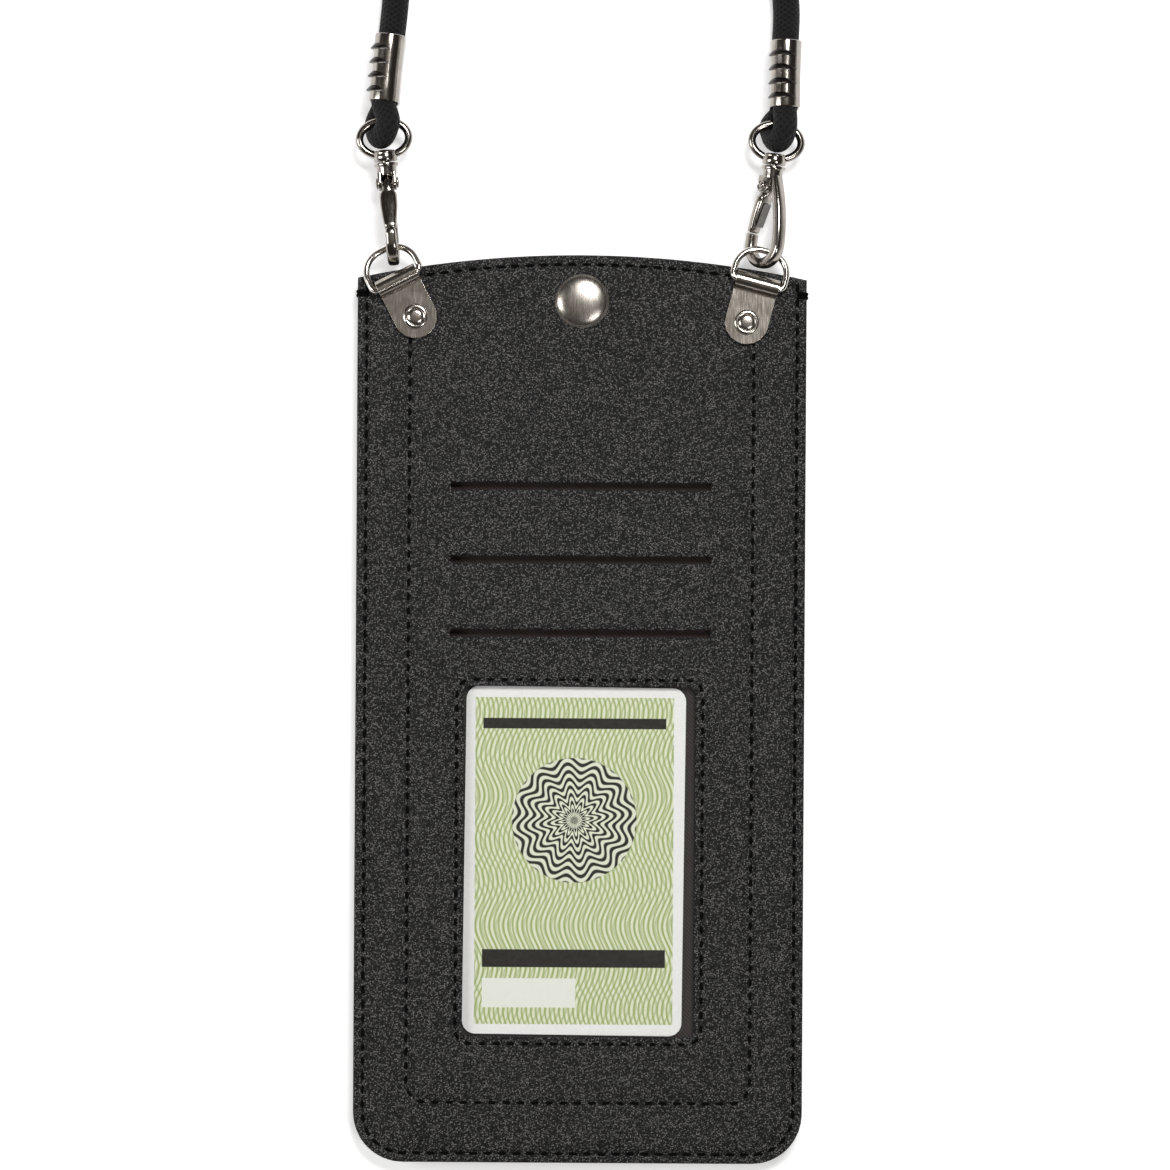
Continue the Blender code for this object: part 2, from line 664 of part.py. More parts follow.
def main():
    clear_scene()
    finish = {
        "leather": material("leather", (0.035, 0.033, 0.033), 0.55),
        "lining": material("lining", (0.05, 0.035, 0.028), 0.9),
        "film": material("clear_film", (0.9, 0.92, 0.92), 0.1),
        "card": material("card", (0.55, 0.62, 0.45), 0.4),
        "metal": material("nickel", (0.5, 0.47, 0.44), 0.18, 1.0),
        "spring": material("spring_steel", (0.45, 0.45, 0.46), 0.3, 1.0),
        "cord": material("braided_cord", (0.02, 0.02, 0.02), 0.8),
        "tie": material("tie", (0.03, 0.03, 0.03), 0.7),
    }
    root = axis_empty("pouch", (0, 0, 0), (0, 0, 0), None)
    card_axis = axis_empty("card_slide", (*CARD_CENTRE, 0), (0, 0, CARD_TURN), root)
    make_pouch(root, finish)
    make_pocket(root, card_axis, finish)
    make_snap(root, finish)
    for side, lie in SIDES.items():
        hook_turn = facing(lie["hook_turn"], lie["hook_roll"])
        clasp = axis_empty(f"clasp_{side}", (*lie["bar"], bar_level()), facing(lie["clip_turn"]), root)
        hook = axis_empty(f"hook_{side}", (*lie["hook"], CLASP_LEVEL), hook_turn, clasp)
        pivot = hook.matrix_world @ Vector((PIVOT[0] * MM, PIVOT[1] * MM, 0))
        gate = axis_empty(f"gate_{side}", pivot / MM, hook_turn, hook)
        make_clip(side, lie, root, finish)
        make_d_ring(side, lie, clasp, finish)
        make_hook(side, lie, hook, finish)
        make_gate(side, lie, gate, finish)
        make_swivel_eye(side, lie, clasp, finish)
        make_ferrule_and_loop(side, lie, clasp, finish)
    make_cord(root, finish)


main()
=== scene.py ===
"""Looks of the neck pouch wallet: leather, stitching, card, hardware and cord around the fixed frame.

Lengths are millimetres in the frame's axes: X across the pouch, Y towards its mouth, Z up.
"""
import math

import bmesh
import bpy
from mathutils import Matrix, Vector


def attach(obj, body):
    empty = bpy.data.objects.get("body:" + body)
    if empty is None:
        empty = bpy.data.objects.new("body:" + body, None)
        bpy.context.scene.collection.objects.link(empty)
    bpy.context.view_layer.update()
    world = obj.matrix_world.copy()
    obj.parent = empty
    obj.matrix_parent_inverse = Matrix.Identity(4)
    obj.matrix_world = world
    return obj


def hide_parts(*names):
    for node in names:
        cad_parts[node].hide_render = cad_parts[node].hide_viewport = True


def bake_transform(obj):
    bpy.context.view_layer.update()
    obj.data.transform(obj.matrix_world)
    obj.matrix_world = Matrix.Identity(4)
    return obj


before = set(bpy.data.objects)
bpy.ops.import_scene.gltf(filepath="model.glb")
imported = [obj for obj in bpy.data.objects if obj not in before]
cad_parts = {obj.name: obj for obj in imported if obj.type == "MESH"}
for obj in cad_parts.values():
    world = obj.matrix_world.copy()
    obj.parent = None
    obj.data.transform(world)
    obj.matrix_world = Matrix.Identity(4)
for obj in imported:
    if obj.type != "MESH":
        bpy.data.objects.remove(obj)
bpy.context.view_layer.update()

MM = 0.001
UP = Vector((0, 0, 1))

# Camera, with its roll in radians
VIEW_WIDTH = 287.5
VIEW_CENTRE = (1.1, 30.5)
VIEW_LEVEL = 6.0
VIEW_ROLL = 0.00606
VIEW_RANGE = 20000.0
CAMERA_HEIGHT = 1000.0
SENSOR = 36.0

# Light: sky colours with the heights they blend over, then each lamp's place, target, size and watts
SIDE_LIGHT = (0.80, 0.785, 0.77)
OVERHEAD = (0.046, 0.041, 0.036)
OVERHEAD_RISE = (0.05, 0.3)
CEILING = (0.165, 0.15, 0.13)
CEILING_RISE = (0.9, 0.98)
LAMPS = {
    "key_softbox": ((170, 470, 980), (0, 40, 0), (300, 240), 7.2),
    "fill_softbox": ((380, -330, 900), (0, 20, 0), (200, 200), 1.9),
    "side_softbox": ((-700, 60, 560), (0, 20, 0), (300, 520), 3.0),
}
FLOOR_REACH = 3000.0
FLOOR_DROP = 0.05

# Colours, mostly as the two ends of a blend
LEATHER_TONES = ((0.011, 0.0105, 0.0105), (0.016, 0.0155, 0.0155))
# Painted shade for the valleys between the leather's pebbles
LEATHER_VALLEY_SHADE = (0.004, 0.0037, 0.0037)
LEATHER_PORE = (0.006, 0.006, 0.006)
# Painted highlight for the tips of the leather's pebbles
LEATHER_TIP_HIGHLIGHT = (0.26, 0.255, 0.25)
LINING_TONES = ((0.012, 0.008, 0.006), (0.062, 0.043, 0.035))
TIE_TONES = ((0.008, 0.008, 0.008), (0.04, 0.04, 0.04))
CORD_TONES = ((0.002, 0.002, 0.002), (0.019, 0.018, 0.019))
THREAD_TONES = ((0.0012, 0.0012, 0.0012), (0.005, 0.005, 0.005))
FILM_TONES = ((0.44, 0.45, 0.45), (0.52, 0.52, 0.52))
FLOOR_TONES = ((0.87, 0.87, 0.87), (0.89, 0.89, 0.89))
GREEN_TONES = ((0.27, 0.37, 0.075), (0.80, 0.84, 0.62))
ROSETTE_TONES = ((0.014, 0.013, 0.008), (0.80, 0.83, 0.66))
CARD_INK = (0.012, 0.011, 0.008)
CARD_PALE = (0.86, 0.88, 0.80)
CARD_WHITE = (0.90, 0.90, 0.88)
CARD_FLECK = (0.2, 0.2, 0.18)

# Metals: material name, tint and least roughness
METALS = {
    "metal": ("polished_nickel", (0.72, 0.68, 0.63), 0.12),
    "plate": ("plated_clip", (0.53, 0.49, 0.44), 0.15),
    # Hooks, swivel eyes and sleeves are nickel like the rest; their darker tint is a painted dark reflection
    "nickel_dark_reflection": ("nickel_painted_dark_reflection", (0.40, 0.37, 0.335), 0.11),
    "dome": ("brushed_nickel", (0.47, 0.435, 0.39), 0.22),
    # Near-black metal for the louvres: painted shade of the pressed slits
    "dark": ("louvre_painted_shade", (0.055, 0.05, 0.046), 0.28),
    "steel": ("spring_steel", (0.22, 0.21, 0.20), 0.26),
}

# Pouch, with each opening as its half width, foot and top
WIDTH = 110.3
HEIGHT = 223.0
MOUTH_RISE = 5.8
MOUTH_ZONE = 64.0
BOTTOM_RADIUS = 12.3
LEATHER = 1.2
FRONT_TOP = 7.0
BACK_CLEAR = 0.12
SLOT_HALF = 32.0
SLOT_WIDTH = 1.9
SLOT_FIRST = 54.7
SLOT_PITCH = 18.05
SLOT_MIDDLES = [SLOT_FIRST - SLOT_PITCH * step for step in range(3)]
SLOTS = [(SLOT_HALF, middle - SLOT_WIDTH / 2, middle + SLOT_WIDTH / 2) for middle in SLOT_MIDDLES]
WINDOW = (28.5, -80.6, 5.6)
WINDOW_CORNER = 1.6
WELT_INSET = 2.7
WELT_LEVEL = 3.4
WELT_HALF = (2.2, 1.5)
SQUARENESS = 0.6

# Relief of the leather: each a depth and the width that it fades over
EDGE_DROP = (0.4, 7.0)
MOUTH_DROP = (0.12, 5.0)
RIM_ROUND = (0.4, 0.9)
SEAM_GROOVE = (0.34, 0.55)
POCKET_GROOVE = (0.32, 0.55)
WINDOW_GROOVE = (0.3, 0.5)
WINDOW_LIP = (0.18, 0.8)
SLOT_SWELL = (0.16, 4.0)
SLOT_LIP = (0.22, 0.6)
SLOT_RIM = 0.3
SLOT_CORNER = 0.1
LIP_CORNER = 2.5

# Grid of a panel: lines along its edges and beside its seams, the even step and the least gap
EDGE_INSETS = (0.0, 0.2, 0.5, 0.9, 1.4, 1.85, 2.3, 2.75, 3.3, 4.2, 5.5)
NEAR_GAPS = (0.4, 1.0)
GRID_STEP = 2.0
GRID_GAP = 0.3
PATH_STEPS = 60

# Stitching, with a seam as its half width, foot, top and corner radius
STITCH_PITCH = 3.5
STITCH_LENGTH = 2.0
THREAD_RADIUS = 0.44
THREAD_LIFT = 0.16
THREAD_DIP = 2.6
SEAM_INSET = 2.3
WRAP_LEVELS = (101.4, 102.3)
WRAP_INSETS = (0.15, 0.7)
POCKET_SEAM = (42.2, -96.7, 92.0, 5.0)
WINDOW_SEAM = (30.2, -82.2, 7.2, 3.6)

# Pocket, with a sheet as its size, centre, thickness and spacing of points
LINING_SHEET = ((88.0, 160.5), (0.0, -18.25), 0.36, 1.4)
LINING_LEVEL = 3.86
LINING_FLAT = (40.8, -95.3)
LINING_RISE = 1.55
LINING_SLOPE = 2.6
FILM_SHEET = ((62.6, 91.8), (0.0, -37.5), 0.16, 3.0)
FILM_LEVEL = 5.42

# Card, whose print is in its own millimetres
CARD_CENTRE = (-1.2, -37.4)
CARD_SIZE = (54.0, 85.6)
CARD_MARGIN = 2.6
CARD_BARS = (((0.0, -24.0), (22.5, 2.2)), ((0.0, 33.8), (22.5, 1.3)))
CARD_PANEL = ((-11.0, -32.5), (11.5, 3.6))
ROSETTE_LEVEL = 10.0
ROSETTE_RADIUS = 15.2
ROSETTE_PETALS = 12.0

# Cord
CORD_RADIUS = 3.3
LOOP_RADIUS = 2.95
LOOP_TWIST = 22.0
STRAND_OFFSET = 3.1
COIL_CENTRE = (1.5, 234.0)
COIL_TURNS = 4.5
COIL_INNER = 27.8
COIL_PITCH = 7.2
COIL_LEVEL = 4.25
COIL_CLIMB = 0.5
LOOP_POINTS = 48

# Ferrules, as wide, long and deep, and their louvres
FERRULE_SIZE = (7.5, 16.3, 12.5)
FERRULE_GAP = 0.3
LOUVRE_COUNT = 4
LOUVRE_FIRST = 2.1
LOUVRE_PITCH = 3.45
LOUVRE_STEPS = 24
LOUVRE_OUT = 1.2
LOUVRE_HIGH = 1.6
LOUVRE_ROOT = 0.3

# Snap, clips and D-rings
SNAP_CENTRE = (0.0, 100.2)
SNAP_RADIUS = 6.4
SNAP_RISE = 1.55
RIVET_OFFSET = 9.8
BAR_LEVEL = 9.4
D_HALF = 6.45
D_HEIGHT = 8.6
D_FOOT = 1.3
D_BOW = 5.6
D_WIRE = 0.8
D_DROOP = -13.0

# Hooks, gates and swivel eyes, from the hook's own foot
CLASP_LEVEL = 7.4
HOOK_REACH = 4.7
HOOK_BEND = 6.0
HOOK_TIP = 8.55
HOOK_HALF = (1.3, 1.5)
HOOK_THINNING = 0.2
TIP_SCALE = 0.86
SPINE_TOP = (1.2, 22.5)
PIVOT = (-0.9, 20.2)
LUG_RADIUS = 1.9
LUG_TOP = 22.8
CHEEK_LEVELS = ((1.37, 0.08), (1.45, 0.0), (2.0, 0.0), (2.17, 0.08), (2.25, 0.25))
GATE_SQUARENESS = 0.65
GATE_STATIONS = ((-0.12, 0.6, 0.8), (-0.1, 1.1, 1.0), (0.0, 1.55, 1.05), (0.15, 1.4, 1.05), (0.18, 1.3, 1.3),
                 (0.21, 1.2, 1.9), (0.25, 1.25, 2.15), (0.35, 1.25, 2.2), (0.5, 1.2, 2.15), (0.7, 1.1, 1.9),
                 (0.88, 1.02, 1.6), (0.95, 0.98, 1.5), (0.972, 0.8, 1.3))
EYE_CENTRE = 31.3
EYE_HALF = (6.05, 4.35)
EYE_WIRE = 0.95
ALONG_Y = Matrix.Rotation(math.radians(-90), 4, "X")
SIDES = {
    "left": {
        "bar": (-45.3, 104.8), "clip_turn": 27.0,
        "hook": (-46.2, 108.6), "hook_turn": 4.9, "hook_roll": -90.0,
        "ferrule": (-48.9, 148.6), "ferrule_turn": -5.6, "louvre_arc": (82.0, 205.0),
    },
    "right": {
        "bar": (42.9, 104.6), "clip_turn": -15.0,
        "hook": (44.0, 108.4), "hook_turn": -6.3, "hook_roll": 48.0,
        "ferrule": (49.3, 147.7), "ferrule_turn": -1.1, "louvre_arc": (46.0, 195.0),
    },
}


# Shader helpers, most of which find the node tree from a socket or shader that they are given

def new_material(name):
    """A material with its shader and the object's coordinates."""
    made = bpy.data.materials.new(name)
    made.use_nodes = True
    tree = made.node_tree
    return made, tree.nodes["Principled BSDF"], node(tree, "TexCoord").outputs["Object"]


def node(tree, kind, inputs=None, **settings):
    """Add a shader node, set its settings and fill or link its inputs."""
    made = tree.nodes.new("ShaderNode" + kind)
    for name, value in settings.items():
        setattr(made, name, value)
    for name, value in (inputs or {}).items():
        feed(made.inputs[name], value)
    return made


def feed(socket, value):
    if isinstance(value, bpy.types.NodeSocket):
        socket.id_data.links.new(value, socket)
    else:
        socket.default_value = value


def calc(operation, first, second=0.0):
    return node(first.id_data, "Math", {0: first, 1: second}, operation=operation).outputs[0]


def times(first, second):
    return calc("MULTIPLY", first, second)


def length_of(vector):
    return node(vector.id_data, "VectorMath", {0: vector}, operation="LENGTH").outputs["Value"]


def noise(coords, scale, detail=4.0, rough=0.5):
    inputs = {"Vector": coords, "Scale": scale, "Detail": detail, "Roughness": rough}
    return node(coords.id_data, "TexNoise", inputs).outputs["Fac"]


def bands(coords, scale, distortion, direction, detail=2.0):
    inputs = {"Vector": coords, "Scale": scale, "Distortion": distortion, "Detail": detail}
    return node(coords.id_data, "TexWave", inputs, bands_direction=direction).outputs["Fac"]


def span(value, low, high, to_low=0.0, to_high=1.0):
    """Map a value from one range onto another, clamped."""
    inputs = {"Value": value, "From Min": low, "From Max": high, "To Min": to_low, "To Max": to_high}
    return node(value.id_data, "MapRange", inputs).outputs["Result"]


def ripple(value, pitch):
    """Sine of a value with a pitch, from 0 to 1."""
    turn = times(value, 2 * math.pi / pitch)
    return span(calc("SINE", turn), -1.0, 1.0)


def blend(factor, first, second):
    made = node(factor.id_data, "Mix", data_type="RGBA")
    feed(made.inputs[0], factor)
    for socket, colour in ((6, first), (7, second)):
        linked = isinstance(colour, bpy.types.NodeSocket)
        feed(made.inputs[socket], colour if linked else (*colour, 1.0))
    return made.outputs[2]


def dress(shader, colour, rough):
    feed(shader.inputs["Base Color"], colour)
    feed(shader.inputs["Roughness"], rough)


def bump(shader, height, strength, distance):
    made = node(shader.id_data, "Bump", {"Height": height, "Strength": strength, "Distance": distance})
    feed(shader.inputs["Normal"], made.outputs["Normal"])


# Materials

def leather_material():
    """Near-black leather with fine pebbled grain: painted shade in the valleys between the pebbles, and tips
    that catch the light as painted pale specks.
    """
    made, shader, coords = new_material("grained_leather")
    tree = made.node_tree
    pebbles = node(tree, "TexVoronoi", {"Vector": coords, "Scale": 2900.0})
    away = pebbles.outputs["Distance"]
    chance = node(tree, "SeparateColor", {"Color": pebbles.outputs["Color"]}).outputs["Red"]
    fine = noise(coords, 2600.0, 3.0)
    broad = noise(coords, 45.0, 3.0)
    base = blend(span(broad, 0.3, 0.7), *LEATHER_TONES)
    # Painted shade: the grain's valleys are darkened towards the valley colour
    base = blend(span(away, 0.3, 0.7, 0.0, 0.85), base, LEATHER_VALLEY_SHADE)
    base = blend(span(fine, 0.4, 0.65, 0.5, 0.0), base, LEATHER_PORE)
    # Painted highlight: pale specks on the pebble tips stand in for light caught by the grain
    tips = times(span(away, 0.25, 0.6, 1.0, 0.0), span(chance, 0.3, 1.0, 0.0, 0.85))
    base = blend(tips, base, LEATHER_TIP_HIGHLIGHT)
    dress(shader, base, span(fine, 0.3, 0.7, 0.45, 0.65))
    shader.inputs["Specular IOR Level"].default_value = 0.15
    bump(shader, calc("SUBTRACT", times(fine, 0.5), away), 0.6, 0.00025)
    return made


def twill_material(name, tones, pitch):
    """Woven twill: diagonal ribs crossed by finer threads."""
    made, shader, coords = new_material(name)
    ribs = bands(coords, 0.314 / (pitch * MM), 0.6, "DIAGONAL", 1.0)
    threads = bands(coords, 0.6 / (pitch * MM), 0.8, "X")
    weave = times(ribs, span(threads, 0.0, 1.0, 0.45, 1.0))
    worn = noise(coords, 300.0)
    tone = times(weave, span(worn, 0.3, 0.7, 0.6, 1.0))
    dress(shader, blend(tone, *tones), span(worn, 0.3, 0.7, 0.75, 0.95))
    bump(shader, weave, 0.6, 0.0002)
    return made


def metal_material(name, tint, rough):
    """Polished plating with faint hairline scratches and cloudy wear."""
    made, shader, coords = new_material(name)
    stretch = {"Vector": coords, "Scale": (1.0, 0.05, 0.6), "Rotation": (0.2, 0.1, 0.6)}
    scratches = noise(node(made.node_tree, "Mapping", stretch).outputs["Vector"], 5200.0, 4.0, 0.7)
    clouds = noise(coords, 260.0, 3.0)
    darker = tuple(value * 0.72 for value in tint)
    colour = blend(span(clouds, 0.35, 0.7), tint, darker)
    shader.inputs["Metallic"].default_value = 1.0
    wear = calc("ADD", span(scratches, 0.45, 0.75, rough, rough + 0.12),
                span(clouds, 0.4, 0.7, 0.0, 0.06))
    dress(shader, colour, wear)
    bump(shader, scratches, 0.05, 0.0001)
    return made


def cord_material():
    """Fine tubular braid: two sets of diagonal strands from the tube's own UVs."""
    made, shader, coords = new_material("braided_cord")
    tree = made.node_tree
    place = node(tree, "SeparateXYZ", {"Vector": node(tree, "TexCoord").outputs["UV"]})
    along, around = times(place.outputs["X"], 0.75), place.outputs["Y"]
    waves = [ripple(calc("ADD", along, times(around, strands)), 1.0)
             for strands in (11.0, -11.0)]
    weave = calc("MAXIMUM", *waves)
    fuzz = noise(coords, 1800.0, 5.0, 0.7)
    colour = blend(times(weave, fuzz), *CORD_TONES)
    dress(shader, colour, span(fuzz, 0.3, 0.7, 0.55, 0.85))
    shader.inputs["Specular IOR Level"].default_value = 0.2
    shader.inputs["Sheen Weight"].default_value = 0.03
    shader.inputs["Sheen Roughness"].default_value = 0.5
    bump(shader, calc("ADD", weave, times(fuzz, 0.35)), 0.8, 0.00035)
    return made


def thread_material():
    """Waxed thread with a fine diagonal ply."""
    made, shader, coords = new_material("waxed_thread")
    ply = bands(coords, 700.0, 1.0, "DIAGONAL")
    fuzz = noise(coords, 2500.0)
    colour = blend(times(ply, fuzz), *THREAD_TONES)
    dress(shader, colour, span(fuzz, 0.3, 0.7, 0.7, 0.9))
    shader.inputs["Specular IOR Level"].default_value = 0.06
    bump(shader, ply, 0.6, 0.00012)
    return made


def film_material():
    """Clear flexible film with a faint haze and soft ripples."""
    made, shader, coords = new_material("clear_film")
    haze = noise(coords, 120.0, 3.0)
    dress(shader, blend(haze, *FILM_TONES), span(haze, 0.3, 0.7, 0.03, 0.09))
    shader.inputs["Alpha"].default_value = 0.022
    bump(shader, noise(coords, 35.0, 2.0), 0.08, 0.001)
    return made


def card_material():
    """Plain printed card: pale margin, green wave-line ground, a rosette and dark bands."""
    made, shader, coords = new_material("printed_card")
    tree = made.node_tree
    spot = node(tree, "SeparateXYZ", {"Vector": coords})
    x, y = (times(calc("SUBTRACT", spot.outputs[axis], middle * MM), 1 / MM)
            for axis, middle in zip("XY", CARD_CENTRE))

    def within(value, middle, half):
        away = calc("ABSOLUTE", calc("SUBTRACT", value, middle))
        return span(away, half - 0.06, half + 0.06, 1.0, 0.0)

    def box(middle, half):
        return times(within(x, middle[0], half[0]), within(y, middle[1], half[1]))

    lines = ripple(calc("ADD", x, times(ripple(y, 21.0), 3.2)), 1.15)
    counter = ripple(calc("SUBTRACT", x, times(ripple(y, 13.0), 2.2)), 1.7)
    ground = times(span(lines, 0.15, 0.55, 0.25, 1.0), span(counter, 0.1, 0.5, 0.55, 1.0))
    colour = blend(ground, *GREEN_TONES)
    up = calc("SUBTRACT", y, ROSETTE_LEVEL)
    radius = length_of(node(tree, "CombineXYZ", {"X": x, "Y": up}).outputs["Vector"])
    angle = times(calc("ARCTAN2", x, up), ROSETTE_PETALS)
    petals = times(calc("SINE", angle), 1.1)
    rings = ripple(calc("ADD", radius, petals), 1.9)
    rosette = blend(span(rings, 0.3, 0.7), *ROSETTE_TONES)
    disc = span(radius, ROSETTE_RADIUS, ROSETTE_RADIUS + 0.3, 1.0, 0.0)
    colour = blend(disc, colour, rosette)
    for bar in CARD_BARS:
        colour = blend(box(*bar), colour, CARD_INK)
    colour = blend(box(*CARD_PANEL), colour, CARD_PALE)
    inside = box((0.0, 0.0), [side / 2 - CARD_MARGIN for side in CARD_SIZE])
    colour = blend(inside, CARD_WHITE, colour)
    grain = noise(coords, 900.0)
    colour = blend(span(grain, 0.3, 0.7, 0.0, 0.05), colour, CARD_FLECK)
    dress(shader, colour, span(grain, 0.3, 0.7, 0.28, 0.4))
    shader.inputs["Specular IOR Level"].default_value = 0.12
    bump(shader, grain, 0.03, 0.0001)
    return made


def floor_material():
    """Pale floor that keeps shadows and reads as white behind the object."""
    made, shader, coords = new_material("pale_floor")
    feed(shader.inputs["Base Color"], blend(noise(coords, 30.0), *FLOOR_TONES))
    shader.inputs["Roughness"].default_value = 0.9
    shader.inputs["Specular IOR Level"].default_value = 0.1
    path = node(made.node_tree, "LightPath")
    seen = calc("MAXIMUM", path.outputs["Is Camera Ray"], path.outputs["Is Glossy Ray"])
    seen = calc("MAXIMUM", seen, path.outputs["Is Transmission Ray"])
    shader.inputs["Emission Color"].default_value = (1.0, 1.0, 1.0, 1.0)
    glow = span(length_of(coords), 0.35, 1.4, 0.42, 0.95)
    feed(shader.inputs["Emission Strength"], times(seen, glow))
    return made


# Mesh helpers

def add_object(name, data):
    made = bpy.data.objects.new(name, data)
    bpy.context.scene.collection.objects.link(made)
    return made


def mesh_piece(name, verts, faces, material, uvs=None, matrix=None, sharp=40.0, sheet=False):
    """One mesh object from points in millimetres, with smooth shading; a sheet keeps its faces' sides."""
    matrix = matrix or Matrix()
    mesh = bpy.data.meshes.new(name)
    mesh.from_pydata([(matrix @ Vector(vert)) * MM for vert in verts], [], faces)
    if uvs:
        layer = mesh.uv_layers.new(name="UVMap")
        for loop in mesh.loops:
            layer.data[loop.index].uv = uvs[loop.vertex_index]
    if not sheet:
        shape = bmesh.new()
        shape.from_mesh(mesh)
        bmesh.ops.recalc_face_normals(shape, faces=shape.faces)
        shape.to_mesh(mesh)
        shape.free()
    mesh.shade_smooth()
    mesh.set_sharp_from_angle(angle=math.radians(sharp))
    mesh.materials.append(material)
    return add_object(name, mesh)


def skin(loops, ring=False, base=0):
    """Faces between equal loops of points, with end caps unless it is a ring."""
    count = len(loops[0])
    faces = []
    rows = len(loops)
    for row in range(rows if ring else rows - 1):
        low, high = row * count + base, (row + 1) % rows * count + base
        for step in range(count):
            after = (step + 1) % count
            faces.append((low + step, low + after, high + after, high + step))
    if not ring:
        faces.append(tuple(base + step for step in reversed(range(count))))
        faces.append(tuple(base + (rows - 1) * count + step for step in range(count)))
    return faces


def lofts(shapes):
    """Points and faces of one or more capped shapes, each given as its loops."""
    verts, faces = [], []
    for loops in shapes:
        faces += skin(loops, base=len(verts))
        verts += sum(loops, [])
    return verts, faces


def grid_faces(across, along, skipped=None):
    """Quads of a grid of points with these counts of cells, without the skipped ones."""
    faces = []
    for j in range(along):
        for i in range(across):
            if skipped and skipped(i, j):
                continue
            corner = j * (across + 1) + i
            faces.append((corner, corner + 1, corner + across + 2, corner + across + 1))
    return faces


def thicken(piece, thickness, offset=-1.0):
    depth = piece.modifiers.new("thickness", "SOLIDIFY")
    depth.thickness = thickness * MM
    depth.offset = offset


def round_edges(piece, width, segments, angle):
    edge = piece.modifiers.new("rounded_edges", "BEVEL")
    edge.width = width * MM
    edge.segments = segments
    edge.limit_method = "ANGLE"
    edge.angle_limit = math.radians(angle)
    return edge


def arc_points(centre, radius, start, end, steps):
    angles = [start + (end - start) * step / steps for step in range(steps + 1)]
    return [(centre[0] + radius * math.cos(a), centre[1] + radius * math.sin(a)) for a in angles]


def quarter_arcs(corners):
    """Path round corners from the lower left on, each with its centre, radius and steps."""
    path = []
    for turn, (x, y, radius, steps) in enumerate(corners, 2):
        path += arc_points((x, y), radius, turn * math.pi / 2, (turn + 1) * math.pi / 2, steps)
    return path


def circle(radius, sides):
    return arc_points((0.0, 0.0), radius, 0.0, 2 * math.pi, sides)[:-1]


def squarish(wide, thick, power, sides):
    """Section between an ellipse and a rectangle, by its half sizes."""
    return [(math.copysign(abs(a) ** power, a) * wide, math.copysign(abs(b) ** power, b) * thick)
            for a, b in circle(1.0, sides)]


def turned(name, profile, material, matrix, sides=64):
    """Solid of revolution about local Z through (radius, height) points."""
    loops = [[(x, y, z) for x, y in circle(radius, sides)] for radius, z in profile]
    return mesh_piece(name, *lofts([loops]), material, matrix=matrix)


def sweep_loops(path, profile, closed=False, up=None):
    """Profile points carried along a path, square to it at every point."""
    path = [Vector(point) for point in path]
    count = len(path)
    loops, side = [], None
    for index, here in enumerate(path):
        before = path[index - 1] if closed or index else here
        after = path[(index + 1) % count] if closed or index < count - 1 else here
        along = (after - before).normalized()
        if up is not None:
            side = along.cross(up).normalized()
        elif side is None:
            side = along.cross(UP).normalized()
        else:
            side = (side - along * side.dot(along)).normalized()
        rise = side.cross(along)
        shape = profile(index / max(count - 1, 1)) if callable(profile) else profile
        loops.append([here + side * a + rise * b for a, b in shape])
    return loops


def flat_sweep(name, path, profile, material, closed=False, matrix=None):
    """Sweep along a path of (x, y) points that lies flat."""
    loops = sweep_loops([(x, y, 0) for x, y in path], profile, closed, UP)
    return mesh_piece(name, sum(loops, []), skin(loops, closed), material, matrix=matrix)


def cord_tube(name, path, radius, material, sides=24):
    """Round cord with UVs in millimetres along it and turns around it."""
    profile = circle(radius, sides)
    profile.append(profile[0])
    loops = sweep_loops(path, profile)
    uvs, travelled = [], 0.0
    for index in range(len(loops)):
        if index:
            travelled += (path[index] - path[index - 1]).length
        uvs += [(travelled, step / sides) for step in range(sides + 1)]
    rows = len(loops) - 1
    faces = grid_faces(sides, rows)
    faces.append(tuple(reversed(range(sides))))
    faces.append(tuple(rows * (sides + 1) + step for step in range(sides)))
    return mesh_piece(name, sum(loops, []), faces, material, uvs)


def smooth_route(knots, per_span=8):
    """Points read from a Catmull-Rom curve through the knots."""
    knots = [Vector(knot) for knot in knots]
    padded = [2 * knots[0] - knots[1], *knots, 2 * knots[-1] - knots[-2]]
    route = []
    for a, b, c, d in zip(padded, padded[1:], padded[2:], padded[3:]):
        for step in range(per_span):
            t = step / per_span
            route.append(0.5 * (2 * b + (c - a) * t + (2 * a - 5 * b + 4 * c - d) * t * t
                                + (3 * b - a - 3 * c + d) * t ** 3))
    route.append(knots[-1])
    return route


def stand(at, turn=0.0, roll=0.0):
    """Matrix of a local frame: turned about Z, then rolled about its own Y."""
    about_z = Matrix.Rotation(math.radians(turn), 4, "Z")
    return Matrix.Translation(at) @ about_z @ Matrix.Rotation(-math.radians(roll), 4, "Y")


def paint(node_name, material):
    """Give one of the frame's own solids a material."""
    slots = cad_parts[node_name].data.materials
    slots.clear()
    slots.append(material)


def assign(piece, body, slot, *replaced):
    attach(piece, body)
    if replaced:
        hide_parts(*replaced)


# Cord

def coil_points():
    """A spiral in and out again in two layers, with a straight end at each side."""
    middle = COIL_TURNS / 2
    count = int(COIL_TURNS * LOOP_POINTS)
    points = []
    for step in range(count + 1):
        turns = COIL_TURNS * step / count
        radius = COIL_INNER + COIL_PITCH * abs(turns - middle)
        level = COIL_LEVEL + COIL_PITCH * ease((turns - middle) / COIL_CLIMB + 0.5)
        angle = math.pi - 2 * math.pi * turns
        points.append(Vector((COIL_CENTRE[0] + radius * math.cos(angle),
                              COIL_CENTRE[1] + radius * math.sin(angle), level)))
    lead = Vector((0, -2 * CORD_RADIUS, 0))
    return [points[0] + lead, *points, points[-1] + lead]


def strap_axis(lie):
    turn = math.radians(lie["ferrule_turn"])
    return Vector((-math.sin(turn), math.cos(turn), 0))


